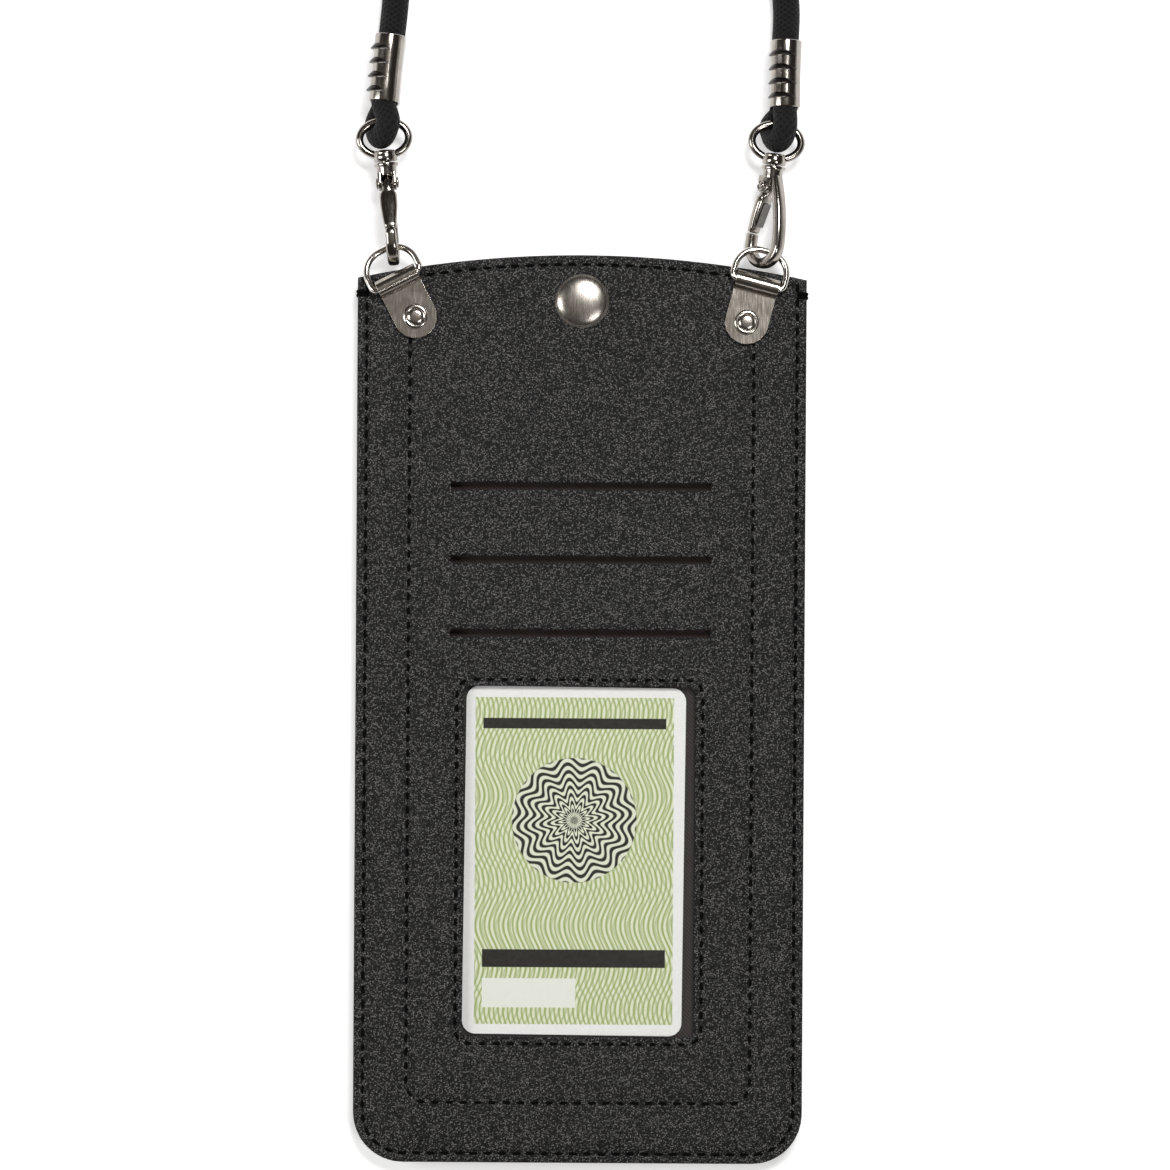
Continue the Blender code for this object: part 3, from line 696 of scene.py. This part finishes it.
def leg_route(lie, coil_end):
    """Way of the cord from a ferrule to an end of the coil."""
    axis = strap_axis(lie)
    top = Vector((*lie["ferrule"], CLASP_LEVEL - STRAND_OFFSET)) + axis * (FERRULE_SIZE[1] + FERRULE_GAP)
    end = Vector(coil_end)
    low = CORD_RADIUS + 0.1
    rise = max(end.z - low, 0)
    knots = [
        top,
        top + axis * 9.0 - UP * 0.6,
        Vector((top.x * 0.7 + end.x * 0.3, top.y + 20.0, low + rise * 0.08)),
        Vector((top.x * 0.35 + end.x * 0.65, top.y + 34.0, low + rise * 0.45)),
        Vector((end.x, end.y - 7.0, end.z - rise * 0.06)),
        end,
    ]
    return smooth_route(knots)


def path_length(points):
    return sum((b - a).length for a, b in zip(points, points[1:]))


def make_cord(finish):
    """The put-away coil with its tie, then each leg with its crimped loop and ferrule."""
    points = coil_points()
    coil = cord_tube("neck_cord_coil", points, CORD_RADIUS, finish["cord"])
    assign(coil, "pouch", "cord", "cord_coil")
    tie = bevelled("coil_tie", "woven_coil_tie", finish["tie"], 0.2, "tie", 2)
    for side, end in (("left", points[0]), ("right", points[-1])):
        lie = SIDES[side]
        route = leg_route(lie, end)
        leg = cord_tube(f"neck_cord_leg_{side}", route, CORD_RADIUS, finish["cord"])
        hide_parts(f"cord_leg_{side}")
        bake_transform(leg)
        loop = make_cord_loop(side, lie, finish)
        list(make_ferrule(side, lie, finish))


def make_cord_loop(side, lie, finish):
    """The cord's end turned back through the swivel eye into the ferrule, a little twisted."""
    axis = strap_axis(lie)
    turn, twist = math.radians(lie["hook_turn"]), math.radians(LOOP_TWIST)
    tilted = UP * math.cos(twist) + axis.cross(UP) * math.sin(twist)
    reach = EYE_CENTRE + EYE_HALF[1]
    x, y = lie["hook"]
    centre = Vector((x - reach * math.sin(turn), y + reach * math.cos(turn), CLASP_LEVEL))
    bend = arc_points((0.0, 0.0), EYE_WIRE + 0.1 + LOOP_RADIUS, 0.0, math.pi, 6)
    back = [centre - axis * out + tilted * rise for rise, out in bend]
    foot = Vector((*lie["ferrule"], CLASP_LEVEL)) + axis * 1.5
    first, last = (foot + UP * STRAND_OFFSET * sign for sign in (1, -1))
    route = smooth_route([first, first - axis * 2.0, *back, last - axis * 2.0, last], 6)
    loop = cord_tube(f"crimped_cord_loop_{side}", route, LOOP_RADIUS, finish["cord"])
    assign(loop, f"clasp_{side}", "cord", f"cord_loop_{side}")
    return loop


# Pouch surfaces

def ease(value):
    value = min(max(value, 0.0), 1.0)
    return value * value * (3 - 2 * value)


def mouth_line(x):
    return HEIGHT / 2 - MOUTH_RISE * (2 * x / WIDTH) ** 2


def half_width(y):
    """Half the pouch's width at a height, narrowing round the bottom corners."""
    below = BOTTOM_RADIUS - (y + HEIGHT / 2)
    if below <= 0:
        return WIDTH / 2
    return WIDTH / 2 - BOTTOM_RADIUS + math.sqrt(max(BOTTOM_RADIUS ** 2 - below ** 2, 0.0))


def box_distance(x, y, half, low, high, radius):
    """Signed distance to a rounded rectangle that is centred across the pouch."""
    across = abs(x) - half + radius
    up = abs(y - (low + high) / 2) - (high - low) / 2 + radius
    outside = math.hypot(max(across, 0.0), max(up, 0.0))
    return outside + min(max(across, up), 0.0) - radius


def groove(distance, depth, width):
    return depth * math.exp(-(distance / width) ** 2)


def fade(distance, depth, width):
    return depth * (1 - ease(distance / width))


def relief(x, y):
    """Height of the leather face over its flat middle: edges drawn down, seams pressed in, slow waves."""
    side = max(-box_distance(x, y, WIDTH / 2, -HEIGHT / 2, HEIGHT, BOTTOM_RADIUS), 0.0)
    mouth = max(mouth_line(x) - y, 0.0)
    rim = min(side, mouth)
    height = -fade(side, *EDGE_DROP) - fade(mouth, *MOUTH_DROP) - groove(rim - SEAM_INSET, *SEAM_GROOVE)
    depth, width = RIM_ROUND
    if rim < width:
        height -= depth * (1 - math.sqrt(1 - (1 - rim / width) ** 2))
    height += 0.07 * math.sin(0.052 * x + 1.0) * math.sin(0.041 * y) + 0.04 * math.sin(0.11 * y + 0.05 * x)
    return height


def front_face(x, y):
    """The front adds the pocket and window seams and the lips of the openings."""
    height = FRONT_TOP + relief(x, y)
    half, low, high, radius = POCKET_SEAM
    if y < high:
        height -= groove(box_distance(x, y, half, low, HEIGHT, radius), *POCKET_GROOVE)
    height -= groove(box_distance(x, y, *WINDOW_SEAM), *WINDOW_GROOVE)
    height -= fade(box_distance(x, y, *WINDOW, LIP_CORNER), *WINDOW_LIP)
    for slot in SLOTS:
        lip = box_distance(x, y, *slot, SLOT_CORNER)
        height += fade(lip - SLOT_RIM, *SLOT_SWELL) - fade(lip, *SLOT_LIP)
    return height


def back_face(x, y):
    return BACK_CLEAR - relief(x, y)


def back_thread(x, y):
    return back_face(x, y) + THREAD_RADIUS


def grid_lines(low, high, exact, near):
    """Sorted grid lines: exact ones, close ones beside them, then an even spread."""
    lines = list(exact)
    count = round((high - low) / GRID_STEP)
    extra = [line + side * gap for line in near for gap in NEAR_GAPS for side in (-1, 1)]
    extra += [low + (high - low) * index / count for index in range(count + 1)]
    for line in extra:
        if low < line < high and min(abs(line - other) for other in lines) > GRID_GAP:
            lines.append(line)
    return sorted(lines)


def panel_grid(openings):
    """Columns and rows for a panel, with lines on the edges of its openings."""
    half, foot, top = WIDTH / 2, -HEIGHT / 2, HEIGHT / 2
    columns = [sign * (half - inset) for sign in (-1, 1) for inset in EDGE_INSETS]
    rows = [foot + inset for inset in EDGE_INSETS] + [top - inset for inset in EDGE_INSETS]
    near_y = []
    for side, *levels in openings:
        columns += [value for value in (-side, side) if value not in columns]
        rows += [value for value in levels if value not in rows]
        near_y += levels
    near_x = [sign * box[0] for box in (WINDOW, WINDOW_SEAM, POCKET_SEAM) for sign in (1, -1)]
    near_y += [POCKET_SEAM[1], WINDOW_SEAM[1]]
    return grid_lines(-half, half, columns, near_x), grid_lines(foot, top, rows, near_y)


def panel_spot(column, row):
    """Where a grid point lies once the bottom corners and the mouth's arch are formed."""
    x = column * half_width(row) / (WIDTH / 2)
    lift = ease((row - MOUTH_ZONE) / (HEIGHT / 2 - MOUTH_ZONE))
    return x, row + (mouth_line(x) - HEIGHT / 2) * lift


def round_corner(x, y):
    """Draw the window's corner points in on a radius."""
    half, low, high = WINDOW
    radius = WINDOW_CORNER
    near_x = radius - (half - abs(x))
    near_y = radius - min(y - low, high - y)
    on_x, on_y = abs(near_x - radius) < 1e-6, abs(near_y - radius) < 1e-6
    pull_x = pull_y = 0.0
    if on_x and on_y:
        pull_x = pull_y = radius * (1 - math.sqrt(0.5))
    elif on_x and 0 < near_y <= radius:
        pull_x = radius - math.sqrt(radius ** 2 - near_y ** 2)
    elif on_y and 0 < near_x <= radius:
        pull_y = radius - math.sqrt(radius ** 2 - near_x ** 2)
    return x - math.copysign(pull_x, x), y - math.copysign(pull_y, y - (low + high) / 2)


def make_panel(name, openings, face, offset, material):
    """Sheet of leather with its openings; face gives the outer height at a place."""
    columns, rows = panel_grid(openings)
    verts = []
    for row in rows:
        for column in columns:
            x, y = panel_spot(column, row)
            if openings:
                x, y = round_corner(x, y)
            verts.append((x, y, face(x, y)))

    def cut_out(i, j):
        x, y = (columns[i] + columns[i + 1]) / 2, (rows[j] + rows[j + 1]) / 2
        return any(abs(x) < half and low < y < high for half, low, high in openings)

    faces = grid_faces(len(columns) - 1, len(rows) - 1, cut_out)
    panel = mesh_piece(name, verts, faces, material, sheet=True)
    thicken(panel, LEATHER, offset)
    round_edges(panel, 0.2, 2, 50)
    return panel


def make_pouch(finish):
    """Front and back panels and the welt between them."""
    front = make_panel("front_leather", [WINDOW, *SLOTS], front_face, -1.0, finish["leather"])
    assign(front, "pouch", "leather", "front_panel")
    back = make_panel("back_leather", [], back_face, 1.0, finish["leather"])
    assign(back, "pouch", "leather", "back_panel")
    section = squarish(*WELT_HALF, SQUARENESS, 20)
    strip = flat_sweep("leather_welt", edge_path(WELT_INSET), section, finish["leather"],
                       matrix=Matrix.Translation(UP * WELT_LEVEL))
    assign(strip, "pouch", "leather", "seam_welt")


# Stitching

def edge_path(inset):
    """Down one side, round the bottom and up the other side, at an inset."""
    half, foot = WIDTH / 2 - inset, -HEIGHT / 2 + inset
    radius = BOTTOM_RADIUS - inset
    top, bend = mouth_line(half) - min(inset, SEAM_INSET), foot + radius
    path = [(-half, top + (bend - top) * step / PATH_STEPS) for step in range(PATH_STEPS)]
    path += quarter_arcs([(-half + radius, bend, radius, 12), (half - radius, bend, radius, 12)])
    path += [(half, bend + (top - bend) * step / PATH_STEPS) for step in range(1, PATH_STEPS + 1)]
    return path


def mouth_path(inset):
    half = WIDTH / 2 - SEAM_INSET
    places = [half - 2 * half * step / PATH_STEPS for step in range(1, PATH_STEPS)]
    return [(x, mouth_line(x) - inset) for x in places]


def rectangle_path(half, low, high, radius, closed):
    """Rounded rectangle, or its sides and bottom when it is left open at the top."""
    corners = [(-half + radius, low + radius), (half - radius, low + radius)]
    if closed:
        corners += [(half - radius, high - radius), (-half + radius, high - radius)]
    path = quarter_arcs([(*corner, radius, 6) for corner in corners])
    return [*path, path[0]] if closed else [(-half, high), *path, (half, high)]


def spaced(path, pitch):
    """Middle and direction of each stitch at an even pitch along a path."""
    path = [Vector(point) for point in path]
    total = path_length(path)
    step = total / round(total / pitch)
    spots, due, travelled = [], step / 2, 0.0
    for a, b in zip(path, path[1:]):
        length = (b - a).length
        while length > 0 and due <= travelled + length:
            spots.append((a.lerp(b, (due - travelled) / length), (b - a) / length))
            due += step
        travelled += length
    return spots


def make_stitches(name, path, surface, side, material):
    """Rows of thread that rise out of the leather and dip back into it."""
    stitches = []
    for middle, along in spaced(path, STITCH_PITCH):
        route = []
        for share in (-0.5, -0.4, -0.2, 0.0, 0.2, 0.4, 0.5):
            spot = middle + along * STITCH_LENGTH * share
            rise = THREAD_LIFT - THREAD_DIP * share * share
            route.append((spot.x, spot.y, surface(spot.x, spot.y) + side * rise))
        stitches.append(sweep_loops(route, circle(THREAD_RADIUS, 8), up=UP))
    assign(mesh_piece(name, *lofts(stitches), material), "pouch", "cord")


def make_all_stitches(thread):
    edge = edge_path(SEAM_INSET)
    outer = edge + mouth_path(SEAM_INSET) + [edge[0]]
    make_stitches("edge_stitches_front", outer, front_face, 1, thread)
    make_stitches("edge_stitches_back", outer, back_thread, -1, thread)
    make_stitches("pocket_stitches", rectangle_path(*POCKET_SEAM, False), front_face, 1, thread)
    make_stitches("window_stitches", rectangle_path(*WINDOW_SEAM, True), front_face, 1, thread)
    make_edge_wraps(thread)


def make_edge_wraps(thread):
    """Closing stitches that pass over each side edge below its top corner."""
    half = WIDTH / 2
    wraps = []
    for way in (-1, 1):
        for y in WRAP_LEVELS:
            inner, outer, shoulder = (way * (half - inset) for inset in (SEAM_INSET, *WRAP_INSETS))
            knots = [(inner, y, front_face(inner, y) + 0.15), (shoulder, y, front_face(outer, y) + 0.25),
                     (way * half, y, FRONT_TOP - LEATHER), (way * half, y, LEATHER),
                     (shoulder, y, back_thread(outer, y) + 0.1), (inner, y, back_thread(inner, y) - 0.1)]
            route = smooth_route(knots, 4)
            wraps.append(sweep_loops(route, circle(THREAD_RADIUS, 8), up=Vector((0, 1, 0))))
    assign(mesh_piece("edge_wrap_stitches", *lofts(wraps), thread), "pouch", "cord")


# Pocket

def make_sheet(name, size, centre, thickness, spacing, level, material):
    """Thin flexible sheet whose height follows a function of place."""
    across, along = (round(side / spacing) for side in size)
    verts = []
    for j in range(along + 1):
        for i in range(across + 1):
            x = centre[0] + size[0] * (i / across - 0.5)
            y = centre[1] + size[1] * (j / along - 0.5)
            verts.append((x, y, level(x, y)))
    piece = mesh_piece(name, verts, grid_faces(across, along), material, sheet=True)
    thicken(piece, thickness)
    return piece


def lining_level(x, y):
    """The lining's flat floor and the slopes that rise to its seams."""
    past = max(abs(x) - LINING_FLAT[0], LINING_FLAT[1] - y)
    wave = 0.04 * math.sin(0.2 * x) * math.sin(0.17 * y)
    return LINING_LEVEL + LINING_RISE * ease(past / LINING_SLOPE) + wave


def film_level(x, y):
    return FILM_LEVEL + 0.05 * math.sin(0.13 * x + 0.6) * math.sin(0.09 * y)


def make_pocket(finish):
    lining = make_sheet("twill_lining", *LINING_SHEET, lining_level, finish["lining"])
    assign(lining, "pouch", "lining", "pocket_lining")
    film = make_sheet("clear_window", *FILM_SHEET, film_level, finish["film"])
    assign(film, "pouch", "film", "window_film")
    paint("insert_card", finish["card"])


# Hardware

def make_snap(finish):
    """Domed cap with a rolled rim, and the hidden halves under it."""
    seat = FRONT_TOP + 0.12
    rim = [(6.1, 0.0), (6.5, 0.08), (6.58, 0.22), (6.46, 0.36)]
    dome = arc_points((0.0, 0.0), 1.0, 0.0, math.pi / 2, 16)[:-1]
    profile = rim + [(SNAP_RADIUS * across, 0.4 + SNAP_RISE * up) for across, up in dome] + [(0.12, 1.95)]
    place = stand((*SNAP_CENTRE, seat))
    assign(turned("snap_dome", profile, finish["dome"], place, 96), "pouch", "nickel", "snap_cap")
    for name in ("snap_socket", "snap_stud"):
        paint(name, finish["metal"])


def bevelled(node_name, name, material, width, slot, segments=3):
    """One of the pouch's own solids with its facets merged and its edges rounded."""
    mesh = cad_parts[node_name].data.copy()
    mesh.name = name
    shape = bmesh.new()
    shape.from_mesh(mesh)
    bmesh.ops.remove_doubles(shape, verts=shape.verts, dist=0.000002)
    bmesh.ops.dissolve_limit(shape, angle_limit=math.radians(1.0), verts=shape.verts, edges=shape.edges)
    shape.to_mesh(mesh)
    shape.free()
    mesh.materials.clear()
    mesh.materials.append(material)
    mesh.shade_smooth()
    mesh.set_sharp_from_angle(angle=math.radians(35))
    piece = add_object(name, mesh)
    round_edges(piece, width, segments, 40).harden_normals = True
    assign(piece, "pouch", slot, node_name)
    return piece


def make_clip(side, lie, finish):
    """Folded clip and its ringed rivet head."""
    bevelled(f"clip_plate_{side}", f"folded_clip_{side}", finish["plate"], 0.22, "nickel")
    profile = [(2.8, 8.42), (3.05, 8.5), (3.08, 8.7), (2.92, 8.9), (2.5, 9.0), (2.15, 8.96), (1.98, 8.84),
               (1.88, 8.92), (1.7, 9.06), (1.0, 9.14), (0.1, 9.17)]
    place = stand((*lie["bar"], 0.0), lie["clip_turn"]) @ Vector((0, -RIVET_OFFSET, 0))
    rivet = turned(f"rivet_head_{side}", profile, finish["plate"], stand(place))
    assign(rivet, "pouch", "nickel", f"clip_rivet_{side}")


def make_d_ring(side, lie, finish):
    foot, bow, top = D_HALF - D_FOOT, D_HALF - D_BOW, D_HEIGHT - D_BOW
    path = quarter_arcs([(-foot, D_FOOT, D_FOOT, 8), (foot, D_FOOT, D_FOOT, 8),
                         (bow, top, D_BOW, 16), (-bow, top, D_BOW, 16)])
    droop = Matrix.Rotation(math.radians(D_DROOP), 4, "X")
    matrix = stand((*lie["bar"], BAR_LEVEL), lie["clip_turn"]) @ droop
    ring = flat_sweep(f"d_ring_wire_{side}", path, circle(D_WIRE, 24), finish["metal"], True, matrix)
    assign(ring, f"clasp_{side}", "nickel", f"d_ring_{side}")


def make_hook(side, lie, finish):
    """Teardrop hook: rounded band, two cheeks for the gate's pin and a short stem."""
    # Nickel in a darker tint: painted dark reflection
    metal = finish["nickel_dark_reflection"]
    matrix = stand((*lie["hook"], CLASP_LEVEL), lie["hook_turn"], lie["hook_roll"])
    reach, low = HOOK_REACH, HOOK_BEND
    path = [(-reach + 0.04, HOOK_TIP), (-reach - 0.04, HOOK_TIP - 0.3), (-reach, 7.4)]
    path += arc_points((0, low), reach, math.pi, 2 * math.pi, 28)
    for share in [step / 16 for step in range(1, 17)]:
        path.append((reach + (SPINE_TOP[0] - reach) * share ** 2, low + (SPINE_TOP[1] - low) * share))

    def section(share):
        wide, thick = HOOK_HALF
        thick -= HOOK_THINNING * ease(1 - share / 0.2)
        scale = 1.0 if share else TIP_SCALE
        return squarish(wide * scale, thick * scale, SQUARENESS, 32)

    band = flat_sweep(f"hook_band_{side}", path, section, metal, matrix=matrix)
    assign(band, f"hook_{side}", "nickel", f"hook_body_{side}")
    make_cheeks(side, matrix, metal)
    stem = [(1.9, 21.9), (2.35, 22.2), (2.45, 22.8), (2.4, 23.6), (2.5, 24.2), (2.9, 24.42), (3.0, 24.8),
            (2.9, 25.15), (1.2, 25.2), (1.2, 25.9)]
    post = turned(f"hook_stem_{side}", stem, metal, matrix @ ALONG_Y)
    assign(post, f"hook_{side}", "nickel")
    make_gate(side, matrix, metal)
    make_pin(side, matrix, metal)
    paint(f"gate_spring_{side}", finish["steel"])


def make_gate(side, matrix, metal):
    """Convex lever from its tongue between the cheeks to the hook's tip."""
    along = Vector((-HOOK_REACH, HOOK_TIP)) - Vector(PIVOT)
    across = Vector((-along.y, along.x)).normalized()
    loops = []
    for share, thick, wide in GATE_STATIONS:
        middle = Vector(PIVOT) + along * share
        loops.append([(*(middle + across * a), b) for a, b in squarish(thick, wide, GATE_SQUARENESS, 32)])
    gate = mesh_piece(f"sprung_gate_{side}", *lofts([loops]), metal, matrix=matrix, sharp=50.0)
    assign(gate, f"gate_{side}", "nickel", f"hook_gate_{side}")


def make_cheeks(side, matrix, metal):
    """Two rounded plates that carry the gate's pin below the stem."""
    outline = arc_points(PIVOT, LUG_RADIUS, math.pi, 2 * math.pi, 20)
    outline += [(PIVOT[0] + LUG_RADIUS, LUG_TOP), (PIVOT[0] - LUG_RADIUS + 0.4, LUG_TOP)]
    middle = Vector((PIVOT[0], PIVOT[1] + 0.6))
    outward = [Vector(point) - middle for point in outline]
    plates = []
    for way in (1, -1):
        plates.append([[(*(middle + out * (1 - inset / out.length)), way * level) for out in outward]
                       for level, inset in CHEEK_LEVELS])
    cheeks = mesh_piece(f"hook_cheeks_{side}", *lofts(plates), metal, matrix=matrix)
    assign(cheeks, f"hook_{side}", "nickel")


def make_pin(side, matrix, metal):
    """Pin with a ringed head at each end."""
    head = [(0.8, 2.3), (1.3, 2.32), (1.42, 2.45), (1.4, 2.62), (1.2, 2.74), (1.02, 2.68), (0.92, 2.58),
            (0.74, 2.6), (0.6, 2.8), (0.3, 2.92), (0.06, 2.94)]
    profile = [(radius, -level) for radius, level in reversed(head)] + head
    place = matrix @ Matrix.Translation((*PIVOT, 0.0))
    pin = turned(f"pivot_pin_{side}", profile, metal, place, 40)
    assign(pin, f"hook_{side}", "nickel", f"gate_pin_{side}")


def make_swivel_eye(side, lie, finish):
    """Oval eye for the cord and the collar that the hook turns in."""
    matrix = stand((*lie["hook"], CLASP_LEVEL), lie["hook_turn"])
    path = [(EYE_HALF[0] * x, EYE_CENTRE + EYE_HALF[1] * y) for x, y in circle(1.0, 64)]
    # The eye and its collar take the darker nickel: painted dark reflection
    ring = flat_sweep(f"eye_ring_{side}", path, circle(EYE_WIRE, 24), finish["nickel_dark_reflection"], True, matrix)
    assign(ring, f"clasp_{side}", "nickel", f"swivel_eye_{side}")
    profile = [(2.2, 25.55), (2.75, 25.62), (2.95, 25.9), (2.95, 27.0), (2.8, 27.5), (2.9, 27.8), (2.7, 28.2),
               (2.2, 28.3)]
    collar = turned(f"eye_collar_{side}", profile, finish["nickel_dark_reflection"], matrix @ ALONG_Y)
    assign(collar, f"clasp_{side}", "nickel")


def make_ferrule(side, lie, finish):
    """Crimped sleeve with a row of pressed louvres round its left front flank."""
    wide, length, deep = FERRULE_SIZE
    matrix = stand((*lie["ferrule"], CLASP_LEVEL), lie["ferrule_turn"])
    end = [(0.45, 0.75), (0.1, 0.5), (0.0, 0.22), (0.12, 0.06), (0.5, 0.0)]
    rows = end + [(4.0, 0.06), (8.1, 0.12), (12.2, 0.06)]
    rows += [(length - y, inset) for y, inset in reversed(end)]
    straight = (deep - wide) / 2
    loops = []
    for y, inset in rows:
        front = arc_points((0.0, straight), wide / 2 - inset, 0.0, math.pi, 24)
        loops.append([(x, y, z) for x, z in front] + [(-x, y, -z) for x, z in front])
    # The sleeve takes the darker nickel: painted dark reflection
    sleeve = mesh_piece(f"crimped_sleeve_{side}", *lofts([loops]), finish["nickel_dark_reflection"],
                        matrix=matrix, sharp=30.0)
    assign(sleeve, f"clasp_{side}", "nickel", f"cord_ferrule_{side}")
    lids = [louvre_loops(LOUVRE_FIRST + LOUVRE_PITCH * step, lie["louvre_arc"], wide / 2 - 0.08, straight)
            for step in range(LOUVRE_COUNT)]
    # The louvres' near-black metal is painted shade, standing in for the shade and dark reflections in the
    # pressed slits
    louvres = mesh_piece(f"sleeve_louvres_{side}", *lofts(lids), finish["dark"], matrix=matrix, sharp=30.0)
    assign(louvres, f"clasp_{side}", "nickel")
    return sleeve, louvres


def louvre_loops(level, angles, radius, straight):
    """An eyelid round the sleeve: a lip along its slit and a slope that runs back into the sleeve above."""
    first, last = (math.radians(angle) for angle in angles)
    loops = []
    for step in range(LOUVRE_STEPS + 1):
        share = step / LOUVRE_STEPS
        swell = math.sin(math.pi * min(max(share, 0.02), 0.98))
        out = LOUVRE_OUT * swell * (0.45 + 0.75 * share)
        high = LOUVRE_HIGH * swell ** 0.7
        lid = [(0.0, -LOUVRE_ROOT), (0.0, out), (0.1, out), (0.45 * high, 0.6 * out),
               (0.8 * high, 0.18 * out), (high, -LOUVRE_ROOT)]
        angle = first + (last - first) * share
        across, out_front = math.cos(angle), math.sin(angle)
        loops.append([((radius + away) * across, level + up, straight + (radius + away) * out_front)
                      for up, away in lid])
    return loops


# Stage, light and camera

def area_light(name, at, target, size, power):
    lamp = bpy.data.lights.new(name, "AREA")
    lamp.shape = "RECTANGLE"
    lamp.size, lamp.size_y = (value * MM for value in size)
    lamp.energy = power
    piece = add_object(name, lamp)
    piece.location = Vector(at) * MM
    aim = Vector(target) - Vector(at)
    piece.rotation_euler = aim.to_track_quat("-Z", "Y").to_euler()


def make_stage():
    """Pale floor, a sky that is bright at the sides and dark overhead, and three softboxes."""
    corners = [(x * FLOOR_REACH, y * FLOOR_REACH, 0) for x, y in ((-1, -1), (1, -1), (1, 1), (-1, 1))]
    floor = mesh_piece("studio_floor", corners, [(0, 1, 2, 3)], floor_material())
    floor.location.z = -FLOOR_DROP * MM
    world = bpy.data.worlds.new("studio")
    bpy.context.scene.world = world
    world.use_nodes = True
    tree = world.node_tree
    around = node(tree, "TexCoord").outputs["Generated"]
    height = node(tree, "SeparateXYZ", {"Vector": around}).outputs["Z"]
    colour = blend(span(height, *OVERHEAD_RISE), SIDE_LIGHT, OVERHEAD)
    colour = blend(span(height, *CEILING_RISE), colour, CEILING)
    feed(tree.nodes["Background"].inputs["Color"], colour)
    for name, lamp in LAMPS.items():
        area_light(name, *lamp)


def make_camera():
    """Camera over the pouch as in the photograph."""
    lens = bpy.data.cameras.new("photo_camera")
    lens.sensor_width = SENSOR
    lens.lens = SENSOR * CAMERA_HEIGHT / VIEW_WIDTH
    lens.clip_end = VIEW_RANGE * MM
    camera = add_object("photo_camera", lens)
    camera.location = Vector((*VIEW_CENTRE, CAMERA_HEIGHT + VIEW_LEVEL)) * MM
    camera.rotation_euler = (0.0, 0.0, VIEW_ROLL)
    bpy.context.scene.camera = camera


def main():
    bpy.context.scene.view_settings.view_transform = "Standard"
    finish = {
        "leather": leather_material(),
        "lining": twill_material("twill_lining", LINING_TONES, 0.5),
        "film": film_material(),
        "card": card_material(),
        "cord": cord_material(),
        "thread": thread_material(),
        "tie": twill_material("woven_tie", TIE_TONES, 0.8),
    }
    finish.update({use: metal_material(*look) for use, look in METALS.items()})
    make_camera()
    make_cord(finish)
    make_pouch(finish)
    make_all_stitches(finish["thread"])
    make_pocket(finish)
    make_snap(finish)
    for side, lie in SIDES.items():
        make_clip(side, lie, finish)
        make_d_ring(side, lie, finish)
        make_hook(side, lie, finish)
        make_swivel_eye(side, lie, finish)
    make_stage()
    bpy.context.view_layer.update()


main()
